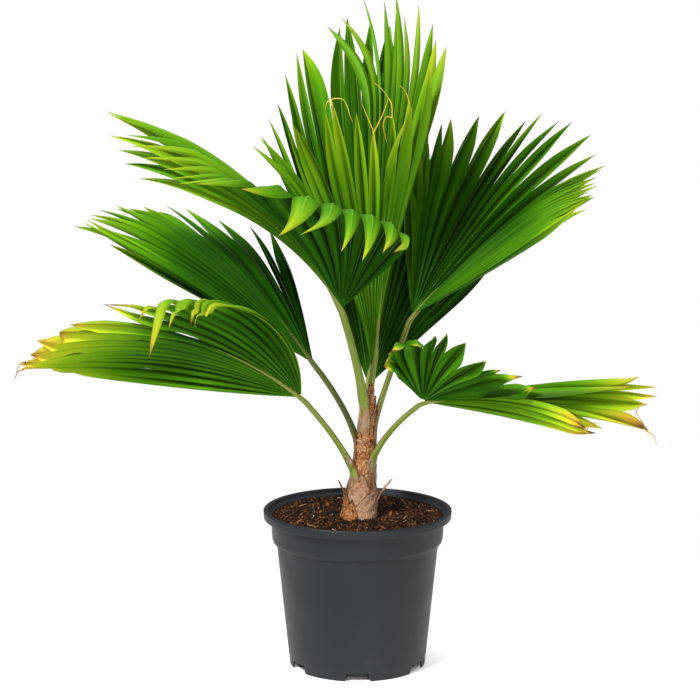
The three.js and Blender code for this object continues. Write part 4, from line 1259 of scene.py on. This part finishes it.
def sheath(height, azimuth, length, spread, stand, layer, seed):
    """an old leaf base: points and faces of a thin shell that clasps the trunk and ends in a point"""
    s, w = np.meshgrid(np.linspace(0, 1, SHEATH_ROWS), np.linspace(-1, 1, SHEATH_COLUMNS), indexing="ij")
    half = spread * (1 - SHEATH_NARROWS * s ** SHEATH_POINT)
    z = height + length * s - SHEATH_SAG * length * w ** 2 * (1 - s)
    radius, middle = trunk_at(z)
    out = outwards(np.radians(azimuth + half * w + SHEATH_TWIST * s))
    wrinkle = fractal(np.stack([half * w * WRINKLE_STRETCH, z, 0 * z], -1), WRINKLE_SIZE, seed)
    curl = EDGE_CURL * np.abs(w) ** 4 * (CURL_AT_FOOT + s)
    reach = radius + layer + stand * s ** STAND_POWER + WRINKLE_RISE * wrinkle + curl
    front = middle + out * reach[..., None]
    back = middle + out * (reach - SHEATH_SKIN * (1 - SKIN_THINNER * s))[..., None]
    points = np.concatenate([front.reshape(-1, 3), back.reshape(-1, 3)])
    faces = stitched(grid_faces(*z.shape), z.size)
    numbers = np.stack([s, w, np.full(z.shape, seed)], -1).reshape(-1, 3)
    return points, faces, both(numbers)


def core():
    """the trunk's middle, with rings and fibres in relief"""
    turns = np.linspace(0, 2 * np.pi, CORE_SIDES + 1)[:-1]
    z, turn_at = np.meshgrid(np.linspace(TRUNK_FOOT, TRUNK_TOP, CORE_ROWS), turns, indexing="ij")
    radius, middle = trunk_at(z)
    out = outwards(turn_at)
    scar = (z + RING_WAVE * np.cos(turn_at * RING_LOBES)) / RING_GAP
    step = scar - np.floor(scar)
    spots = out * BARK_AROUND + np.stack([0 * z, 0 * z, z * BARK_STRETCH], -1)
    rough = fractal(spots, BARK_SIZE, BARK_SEED)
    reach = radius + RING_RISE * (1 - step) ** 2 + BARK_RISE * rough
    points = (middle + out * reach[..., None]).reshape(-1, 3)
    top, foot = len(points), len(points) + 1
    last = len(points) - CORE_SIDES
    points = np.concatenate([points, middle[-1:, 0], middle[:1, 0]])
    faces = grid_faces(*z.shape, closed=True)
    for c in range(CORE_SIDES):
        after = (c + 1) % CORE_SIDES
        faces += [(last + c, last + after, top), (after, c, foot)]
    numbers = np.stack([step, turn_at / np.pi - 1, np.zeros(z.shape)], -1).reshape(-1, 3)
    return points, faces, np.concatenate([numbers, [[0, 0, 0], [0, 0, 0]]])


# %% Trunk mesh
# Boots and broad old bases: height, azimuth, length, half angle, stand of the tip, layer, grey from 0 to 1
OLD_BASES = [
    (218, -48, 58, 104, 2, 3.6, 0.80),
    (234, -104, 60, 84, 1, 2.8, 0.66),
    (216, -126, 38, 44, 2, 4.6, 0.02),
    (219, 200, 50, 50, 6, 3.0, 0.20),
    (240, -6, 40, 34, 21, 3.6, 0.50),
    (242, 184, 38, 32, 15, 3.4, 0.45),
    (219, 60, 66, 90, 5, 3.4, 0.70),
    (219, 130, 62, 80, 4, 3.0, 0.60),
]
# The spiral of smaller bases goes on up the trunk. The lowest one's length, half angle and layer come first,
# then how much less each is than the one below it
SPIRAL_FIRST, SPIRAL_LESS = (40, 76, 1.6), (0.9, 1.2, 0.03)
SPIRAL_COUNT, SPIRAL_STEP, SPIRAL_START = 22, 137.5, -75
SPIRAL_FOOT, SPIRAL_RISE, SPIRAL_STAND = 258, 6.6, 1.4
# the bases from PALE_FROM up take a paler grey as painted light, in the shade of the stalks above them
TAWNY, TAWNY_STEP, DULL, PAINTED_LIGHT_TOP, PALE_FROM = 0.12, 0.12, 0.45, 0.56, 14
SPIRAL_SEED, BASE_SEED = 7, 40


def spiral_grey(number):
    """the youngest bases, at the top, are painted paler as light against the shade of the stalks; every
    fourth one is dull, and the others are tawny
    """
    if number >= PALE_FROM:
        return PAINTED_LIGHT_TOP
    return DULL if number % 4 == 2 else TAWNY + TAWNY_STEP * (number % 2)


def make_trunk():
    parts = [(*core(), TAWNY)]
    for number in range(SPIRAL_COUNT):
        low, azimuth = SPIRAL_FOOT + SPIRAL_RISE * number, SPIRAL_START + SPIRAL_STEP * number
        length, spread, layer = (first - less * number for first, less in zip(SPIRAL_FIRST, SPIRAL_LESS))
        shell = sheath(low, azimuth, length, spread, SPIRAL_STAND, layer, SPIRAL_SEED + number)
        parts.append((*shell, spiral_grey(number)))
    for number, (*sizes, grey) in enumerate(OLD_BASES):
        parts.append((*sheath(*sizes, BASE_SEED + number), grey))
    return joined_mesh("trunk_bark", parts)


def joined_mesh(name, parts):
    """one mesh of several shells, each with its own share of grey"""
    points, faces, numbers, count = [], [], [], 0
    for part_points, part_faces, part_numbers, grey in parts:
        faces += [tuple(i + count for i in face) for face in part_faces]
        count += len(part_points)
        points.append(part_points)
        numbers.append(np.column_stack([part_numbers, np.full(len(part_points), grey)]))
    along, side, strand, grey = np.concatenate(numbers).T
    attributes = {"along": along, "side": np.abs(side), "strand": side * 3 + strand, "grey": grey}
    return mesh_object(name, np.concatenate(points), faces, attributes, crease=50)


# %% Bark finish
ORANGE_BARK, TAN_BARK, GREY_BARK = (0.560, 0.190, 0.044), (0.600, 0.290, 0.125), (0.580, 0.345, 0.215)
# the rust and pale bark colours are fibre colours, and also painted shade and painted highlight on the
# crumple
DARK_BARK, RUST_AND_SHADE_BARK, PALE_AND_HIGHLIGHT_BARK = (0.030, 0.011, 0.005), (0.200, 0.062, 0.016), (0.860, 0.600, 0.390)
RIM_BARK = (0.060, 0.022, 0.008)
PAPER_TAN, PAPER_GREY = (0.250, 0.150, 0.075), (0.270, 0.205, 0.130)


def bark_material():
    bark = Finish("fibrous bark")
    over, up = bark.sum("MULTIPLY", bark.read("strand"), 3.4), bark.sum("MULTIPLY", bark.read("along"), 1.3)
    fibres = bark.noise(bark.vector(over, up, 0.0), 1.8, 5.0, 0.7)
    crumple = bark.noise(bark.stretched(150, 150, 260), 1.0, 5.0, 0.72)
    streaks = bark.noise(bark.stretched(420, 420, 90), 1.0, 4.0, 0.65)
    cloud = bark.noise(bark.place(), 75.0, 3.0)
    worn = bark.sum("ADD", bark.read("grey"), bark.about(cloud, 0.35), clamp=True)
    colour = bark.ramp(worn, [(0.05, ORANGE_BARK), (0.40, TAN_BARK), (0.75, GREY_BARK)])
    colour = bark.mix(bark.span(fibres, 0.50, 0.66, 0.0, 0.65), colour, RUST_AND_SHADE_BARK)
    colour = bark.mix(bark.span(fibres, 0.46, 0.34, 0.0, 0.55), colour, PALE_AND_HIGHLIGHT_BARK)
    rough = bark.span(worn, 0.30, 0.80, 1.0, 0.35)
    # painted shade and highlight: hollows of the crumple, which also raises the bump, turn rust and its
    # ridges pale
    shade_in_hollows = bark.sum("MULTIPLY", bark.span(crumple, 0.48, 0.38, 0.0, 0.85), rough)
    highlight_on_ridges = bark.sum("MULTIPLY", bark.span(crumple, 0.53, 0.66, 0.0, 0.80), rough)
    colour = bark.mix(shade_in_hollows, colour, RUST_AND_SHADE_BARK)
    colour = bark.mix(highlight_on_ridges, colour, PALE_AND_HIGHLIGHT_BARK)
    dark = bark.sum("MULTIPLY", bark.span(streaks, 0.55, 0.68, 0.0, 0.85), rough)
    colour = bark.mix(dark, colour, DARK_BARK)
    rim = bark.span(bark.read("side"), 0.88, 1.0, 0.0, 0.75)
    colour = bark.mix(rim, colour, RIM_BARK)
    bark.set(Base_Color=colour, Roughness=0.88, Specular_IOR_Level=0.12)
    bark.bump(bark.sum("ADD", crumple, fibres), 1.0, 0.004)
    return bark.material


# %% Make the trunk
trunk = make_trunk()
trunk.data.materials.append(bark_material())
print("trunk bark:", len(trunk.data.polygons), "faces")

# %% [markdown]
# ## The stalks
# Each leaf stalk clasps the trunk with a broad papery base, then narrows to a slender channelled stem with
# brown fibres along its edges, and runs on as a thin rib into the blade. A swept circle can't do that, so
# the section is worked out row by row: a half ring on the trunk that turns into a shallow channel.

# %% Stalk paths
STALK_ROWS, STALK_SIDES = 84, 15
BASE_WIDTH, STEM_WIDTH, HUB_WIDTH = 9.5, 6.3, 5.0
CLASP_DROP, EDGE_DROP, USUAL_CLASP, CLASP_LAYER = 26.0, 6, 70.0, 4.2
CLEAR_OF_TRUNK = 7.0
FINE_STEPS, FAN_PLACES = 400, 100
RIB_FROM, RIB_POINTS = 0.10, 4
STEM_POINTS, STEM_END = 12, 0.97
NEWEST_HEIGHTS, NEWEST_AZIMUTH = (384, 398, 412, 428), -90.0


def resampled(corners, count):
    """evenly spaced points on a smooth curve through the corners"""
    corners = np.array(corners, float)
    run = np.concatenate([[0], np.cumsum(np.linalg.norm(np.diff(corners, axis=0), axis=1))])
    fine = through(run, corners, np.linspace(0, run[-1], FINE_STEPS))
    steps = np.concatenate([[0], np.cumsum(np.linalg.norm(np.diff(fine, axis=0), axis=1))])
    even = np.linspace(0, steps[-1], count)
    return np.stack([np.interp(even, steps, fine[:, k]) for k in range(3)], -1), steps[-1]


def stalk_path(frond):
    """points from the trunk to the end of the blade's rib, the share of them that is stalk, and azimuth"""
    lines, _ = blade_lines(frond, np.linspace(0, 1, FAN_PLACES + 1))
    spine = lines[round(FAN_PLACES * frond["rib_place"])]
    rib = [spine[int(f * STEPS)] for f in np.linspace(RIB_FROM, frond["rib"], RIB_POINTS)]
    hub = np.array(frond["hub"], float)
    if "stalk" in frond:
        height, rise, reach = frond["stalk"]
        foot = trunk_at(height)[1]
        span = hub - foot
        azimuth = math.degrees(math.atan2(span[1], span[0]))
        control = foot + aim(azimuth, rise) * reach * np.linalg.norm(span)
        t = np.linspace(0, STEM_END, STEM_POINTS)[:, None]
        stem = list((1 - t) ** 2 * foot + 2 * t * (1 - t) * control + t ** 2 * hub)
    else:
        azimuth = NEWEST_AZIMUTH
        stem = [trunk_at(z)[1] for z in NEWEST_HEIGHTS]
    path, total = resampled(stem + rib, STALK_ROWS)
    reach_of_stem = np.sum(np.linalg.norm(np.diff(np.array(stem), axis=0), axis=1))
    return path, reach_of_stem / total, azimuth


# %% Stalk sections
HALF_ROUND = np.linspace(-1, 1, STALK_SIDES) * np.pi / 2
EDGE = np.abs(HALF_ROUND) / (np.pi / 2)
NEWEST_WIDTHS, NEWEST_DEPTH = [(0, 4.4), (0.18, 4.6), (0.45, 4.4), (0.75, 3.0), (1, 1.2)], 0.55
BASE_SHARE, RIB_TAPER, RIB_END = 0.5, 0.8, 0.7
STEM_DEPTH, RIB_FLATTER = 0.80, 0.25
CHANNEL_AT_FOOT, CHANNEL_LESS, CHANNEL_HOLLOW = 0.9, 0.6, 0.75
INNER_SWELL, INNER_SET, INNER_WIDTH = 0.55, 0.22, 0.95
FREE_SPREAD, LAYER_GROWS, LAYER_UNDER, LOOSE_LIFT = 24, 0.16, 1.0, 2.0
CLASP_SKIN, DROP_POWER = 1.4, 1.2
CLASP_WRINKLE, CLASP_WRINKLE_SIZE, CLASP_AROUND, CLASP_SEED = 0.6, 8.0, 12, 2


def stalk_widths(frond, path, on_stem, on_rib):
    """half width and depth at every row, and how clear of the trunk the row is, from 0 to 1"""
    if "stalk" not in frond:
        width = along_fan(NEWEST_WIDTHS, np.linspace(0, 1, STALK_ROWS))
        return width, width * NEWEST_DEPTH, np.ones(STALK_ROWS)
    width = BASE_WIDTH + (STEM_WIDTH - BASE_WIDTH) * ease(on_stem / BASE_SHARE)
    width = width + (HUB_WIDTH - STEM_WIDTH) * on_stem
    width = width * (1 - on_rib) ** RIB_TAPER + RIB_END
    radius, middle = trunk_at(path[:, 2])
    from_axis = np.linalg.norm((path - middle)[:, :2], axis=1)
    depth = width * (STEM_DEPTH - RIB_FLATTER * on_rib)
    return width, depth, ease(from_axis / (radius + CLEAR_OF_TRUNK))


def channel_section(path, azimuth, width, depth, on_stem):
    """the free stalk: its round outer half and its inner half, which is hollowed to a shallow channel"""
    ahead = unit(np.gradient(path, axis=0))
    sideways = unit(np.cross(ahead, np.cross(aim(azimuth + 90, 0.0), ahead)))
    out = unit(np.cross(sideways, ahead))
    channel = (CHANNEL_AT_FOOT - CHANNEL_LESS * on_stem)[:, None]
    across = sideways[:, None] * (width[:, None] * np.sin(HALF_ROUND))[..., None]
    outer = path[:, None] + across + out[:, None] * (depth[:, None] * np.cos(HALF_ROUND))[..., None]
    sunk = depth[:, None] * ((CHANNEL_HOLLOW * channel - INNER_SWELL) * np.cos(HALF_ROUND) - INNER_SET)
    inner = path[:, None] + across * INNER_WIDTH + out[:, None] * sunk[..., None]
    return outer, inner


def clasping_section(path, azimuth, clasp, loose):
    """the stalk's foot: a half ring that clasps the trunk"""
    loose = loose[:, None]
    z = path[:, 2:] - CLASP_DROP * (1 - loose) ** DROP_POWER - EDGE_DROP * EDGE ** 2 * (1 - loose)
    radius, middle = trunk_at(z)
    spread = clasp * (1 - loose) + FREE_SPREAD * loose
    ring = outwards(np.radians(azimuth + spread * HALF_ROUND / (np.pi / 2)))
    layer = -LAYER_UNDER + (CLASP_LAYER + LAYER_UNDER) * ease(loose / LAYER_GROWS) + LOOSE_LIFT * loose
    wrinkle = CLASP_WRINKLE * fractal(ring * CLASP_AROUND + middle, CLASP_WRINKLE_SIZE, CLASP_SEED)
    outer = middle + ring * (radius + layer + wrinkle)[..., None]
    inner = middle + ring * (radius + layer - CLASP_SKIN - LOOSE_LIFT * loose)[..., None]
    return outer, inner


def stalk_parts(frond):
    """points, faces and four numbers a point: along, side, strand, and how clear of the trunk it is"""
    path, stem_share, azimuth = stalk_path(frond)
    place = np.linspace(0, 1, STALK_ROWS)
    on_stem = np.clip(place / stem_share, 0, 1)
    on_rib = np.clip((place - stem_share) / (1 - stem_share), 0, 1)
    width, depth, loose = stalk_widths(frond, path, on_stem, on_rib)
    channel = channel_section(path, azimuth, width, depth, on_stem)
    clasping = clasping_section(path, azimuth, frond.get("clasp", USUAL_CLASP), loose)
    hold = (1 - loose)[:, None, None]
    outer, inner = (a * (1 - hold) + b * hold for a, b in zip(channel, clasping))
    loop = np.concatenate([outer, inner[:, ::-1]], 1)
    count = loop.shape[1]
    faces = grid_faces(STALK_ROWS, count, closed=True)
    last = (STALK_ROWS - 1) * count
    for k in range(STALK_SIDES - 1):
        faces.append((k + 1, k, count - 1 - k, count - 2 - k))
        faces.append((last + k, last + k + 1, last + count - 2 - k, last + count - 1 - k))
    side = np.tile(np.concatenate([EDGE, EDGE[::-1]]), STALK_ROWS)
    strand = np.tile(np.concatenate([HALF_ROUND, HALF_ROUND[::-1] + 9]), STALK_ROWS)
    return loop.reshape(-1, 3), faces, np.repeat(on_stem, count), side, strand, np.repeat(loose, count)


# %% Stalk finish
STALK_GREEN, STALK_LIGHT = (0.112, 0.176, 0.016), (0.235, 0.290, 0.050)
STALK_DARK_AND_SHADE = (0.040, 0.085, 0.008)
EDGE_BROWN = (0.110, 0.042, 0.016)
SATIN, PAPERY = 0.42, 0.85


def stalk_material():
    stalk = Finish("leaf stalk")
    along, side, clasp = stalk.read("along"), stalk.read("side"), stalk.read("clasp")
    over, up = stalk.sum("MULTIPLY", stalk.read("strand"), 5.0), stalk.sum("MULTIPLY", along, 3.0)
    streaks = stalk.noise(stalk.vector(over, up, 0.0), 1.5, 4.0, 0.6)
    blotch = stalk.noise(stalk.place(), 70.0, 4.0)
    fine = stalk.noise(stalk.stretched(340, 340, 40), 1.0, 4.0, 0.6)
    green = stalk.mix(stalk.span(streaks, 0.35, 0.65), STALK_GREEN, STALK_LIGHT)
    # shade darkens the stalk: partly its own darker tone, partly painted shade
    green = stalk.mix(stalk.read("shade"), green, STALK_DARK_AND_SHADE)
    coarse = stalk.noise(stalk.stretched(210, 210, 60), 1.0, 5.0, 0.65)
    dry = stalk.mix(stalk.span(fine, 0.40, 0.66, 0.0, 0.70), PAPER_TAN, RUST_AND_SHADE_BARK)
    dry = stalk.mix(stalk.span(blotch, 0.44, 0.64, 0.0, 0.65), dry, PAPER_GREY)
    dry = stalk.mix(stalk.span(coarse, 0.52, 0.66, 0.0, 0.70), dry, DARK_BARK)
    dry = stalk.mix(stalk.span(coarse, 0.46, 0.36, 0.0, 0.35), dry, PALE_AND_HIGHLIGHT_BARK)
    frayed = stalk.sum("MULTIPLY", stalk.span(side, 0.45, 1.0), 0.30)
    ragged = stalk.sum("ADD", stalk.about(blotch, 0.55), stalk.about(fine, 0.30))
    papery = stalk.span(stalk.sum("ADD", clasp, stalk.sum("ADD", frayed, ragged)), 0.42, 0.66)
    colour = stalk.mix(papery, green, dry)
    rim = stalk.span(stalk.sum("ADD", side, stalk.about(fine, 0.14)), 0.90, 1.0, 0.0, 0.9)
    colour = stalk.mix(rim, colour, EDGE_BROWN)
    stalk.set(Base_Color=colour, Specular_IOR_Level=0.18)
    stalk.set(Roughness=stalk.span(papery, 0.0, 1.0, SATIN, PAPERY))
    grain = stalk.sum("ADD", fine, stalk.sum("MULTIPLY", coarse, stalk.span(papery, 0.0, 1.0, 0.0, 3.0)))
    stalk.bump(stalk.sum("ADD", grain, streaks), 0.5, 0.0010)
    return stalk.material


# %% Make the stalks
USUAL_DRY = 0.20
FRESH_SIDE, FRESH_GAIN = 0.75, 1.6
stalk_finish = stalk_material()
stalks = []
for frond in FRONDS:
    points, faces, along, side, strand, loose = stalk_parts(frond)
    dry_to = frond.get("dry_to", USUAL_DRY)
    low_end, high_end = frond.get("fresh", (0, 1))
    up_fresh = np.clip((points[:, 2] - low_end) / (high_end - low_end), 0, 1)
    fresh = np.sin(np.pi * up_fresh) * (side < FRESH_SIDE)
    clasp = (1 - ease(along / (2 * dry_to))) * (1 - ease(FRESH_GAIN * fresh))
    attributes = {"along": along, "side": side, "strand": strand, "clasp": clasp,
                  "shade": np.full(len(along), frond.get("shade", 0.0))}
    stalk = mesh_object(f"stalk_{frond['name']}", points, faces, attributes, crease=55)
    stalk.data.materials.append(stalk_finish)
    stalks.append(stalk)
print(len(stalks), "stalks,", len(stalks[0].data.polygons), "faces each")

# %% [markdown]
# ## Dry threads
# As a fan opens, its tips stay joined for a while by thin dry threads, which then hang loose and curl.
# Each one is a fine tube with four sides along a smooth curve. It starts at the tip of a leaflet, where the
# blade has put it, and its corners are steps across and up from there, so no thread floats free.

# %% Thread shapes
THREADS = [
    # frond, leaflet, thickness, then steps across and up from the leaflet's tip
    ("newest", 6, 0.9, [(0, -8), (0, 0), (8, 2), (16, 0), (21, -8), (25, -20), (29, -31)]),
    ("newest", 6, 0.7, [(-1, -5), (-4, -1), (-8, -7), (-9, -14)]),
    ("newest", 8, 0.8, [(1, -6), (-5, 9), (-10, 20), (-15, 33)]),
    ("newest", 8, 0.9, [(1, -8), (8, 6), (15, 20), (22, 41)]),
    ("newest", 10, 0.9, [(0, -7), (-1, 12), (-4, 19), (-13, 32), (-25, 43)]),
    ("newest", 10, 0.7, [(0, -6), (-8, -5), (-13, -16), (-8, -40)]),
    ("newest", 12, 0.8, [(0, -6), (-4, 7), (-9, 15), (-15, 20)]),
    ("low_right", 15, 1.1, [(-6, 1), (-8, 10), (-16, 22), (-20, 32)]),
    ("low_right", 15, 1.2, [(-5, 1), (6, -6), (12, -20)]),
    ("low_right", 14, 0.9, [(-6, 2), (-14, -4), (-18, -14)]),
    ("low_right", 18, 1.0, [(-8, 4), (-2, 12), (6, 16), (14, 14)]),
    ("low_left", 2, 1.2, [(6, 1), (-3, -2), (-6, -8), (-8, -14)]),
    ("low_left", 4, 0.9, [(6, 1), (-2, -3), (-6, -10), (-7, -18)]),
]
THREAD_POINTS, THREAD_SIDES, THREAD_TAPER = 24, 4, 0.7
SWAY_DEPTH, SWAY_STEP = 3, 2.1


def thread_path(root, steps, number):
    """a curve through the steps, which also sways a little towards the camera and back"""
    corners = []
    for k, (x, z) in enumerate(steps):
        corners.append(root + (x, SWAY_DEPTH * math.sin(SWAY_STEP * k + number) * min(k, 1), z))
    return resampled(corners, THREAD_POINTS)[0]


def make_threads():
    parts = []
    around = np.arange(THREAD_SIDES) * 2 * np.pi / THREAD_SIDES
    for number, (name, leaflet, thickness, steps) in enumerate(THREADS):
        path = thread_path(leaflet_tips[name][leaflet], steps, number)
        ahead = unit(np.gradient(path, axis=0))
        aside = unit(np.cross(ahead, (0.0, 1.0, 0.0)))
        up = np.cross(aside, ahead)
        size = thickness * (1 - THREAD_TAPER * np.linspace(0, 1, THREAD_POINTS))[:, None, None]
        ring = aside[:, None] * np.cos(around)[:, None] + up[:, None] * np.sin(around)[:, None]
        points = (path[:, None] + ring * size).reshape(-1, 3)
        faces = grid_faces(THREAD_POINTS, THREAD_SIDES, closed=True)
        last = (THREAD_POINTS - 1) * THREAD_SIDES
        faces += [(3, 2, 1, 0), (last, last + 1, last + 2, last + 3)]
        parts.append((points, faces, np.zeros((len(points), 3)), number / len(THREADS)))
    return joined_mesh("leaf_threads", parts)


# %% Make the threads
STRAW_YELLOW, RUSTY, BURNT_BROWN = (0.620, 0.480, 0.040), (0.600, 0.290, 0.040), (0.280, 0.120, 0.030)


def thread_material():
    thread = Finish("dry thread")
    colours = [(0.0, STRAW_YELLOW), (0.75, RUSTY), (0.85, BURNT_BROWN)]
    thread.set(Base_Color=thread.ramp(thread.read("grey"), colours), Roughness=0.6, Specular_IOR_Level=0.10)
    return thread.material


threads = make_threads()
threads.data.materials.append(thread_material())
finish_piece(threads, "new_blade")

# %% [markdown]
# ## Frayed fibres
# Old sheaths fray into stiff fibres that stand off the trunk at all angles. They are far too many to place
# by hand, so Geometry Nodes scatter one bowed bristle over the bark and aim each copy partly away from the
# surface and partly at random. Then the trunk and the stalks are ready to be finished too.

# %% Fibre tree
BRISTLE_FOOT, BRISTLE_TIP, BRISTLE_BOW = 0.02, 0.004, 0.38
AWAY_FROM_BARK, STRAY_SIDE = 0.6, 0.7
STRAY_DOWN, STRAY_UP = -0.1, 1.1


def bristle(making):
    """a bowed fibre with three sides, one unit long along z"""
    cone = making.node("GeometryNodeMeshCone", Vertices=3, Side_Segments=4, Radius_Top=BRISTLE_TIP,
                       Radius_Bottom=BRISTLE_FOOT, Depth=1.0).outputs[0]
    up = making.parts(making.position())[2]
    bow = making.sum("MULTIPLY", making.sum("MULTIPLY", up, up), BRISTLE_BOW)
    return making.moved(cone, Offset=making.vector(bow, 0.0, 0.0))


def bristled(name, base, density, seed, least, largest, material):
    """frayed fibres on base, from the least to the largest length in millimetres"""
    making = Making(name, Density=float(density), Seed=seed, Least=least * MM, Largest=largest * MM)
    roots = making.node("GeometryNodeDistributePointsOnFaces", Mesh=making.start["Geometry"],
                        Density=making.start["Density"], Seed=making.start["Seed"])
    lean = making.arrow("SCALE", roots.outputs["Normal"], Scale=AWAY_FROM_BARK)
    stray = making.vector(making.random(-STRAY_SIDE, STRAY_SIDE, 21),
                          making.random(-STRAY_SIDE, STRAY_SIDE, 22),
                          making.random(STRAY_DOWN, STRAY_UP, 23))
    aimed = making.arrow("ADD", lean, in1=stray)
    aligned = making.node("FunctionNodeAlignRotationToVector", {"axis": "Z"}, Vector=aimed).outputs[0]
    size = making.random(making.start["Least"], making.start["Largest"], 24)
    return making.strewn(name, base, roots.outputs[0], bristle(making), aligned, size, 25, material)


# %% Fray the trunk
frayed_finish = crumb_material("frayed fibres", [
    (0.0, (0.090, 0.036, 0.014)),
    (0.7, (0.300, 0.150, 0.060)),
    (1.0, (0.480, 0.330, 0.190)),
], 0.8)
frayed = bristled("trunk_fibres", trunk, 15000, 31, 2.5, 9.0, frayed_finish)
finish_piece(trunk, "trunk", "trunk")
finish_piece(frayed, "trunk")
for frond, stalk in zip(FRONDS, stalks):
    nodes = [f"petiole_{frond['name']}"] if "stalk" in frond else []
    finish_piece(stalk, "petiole", *nodes)
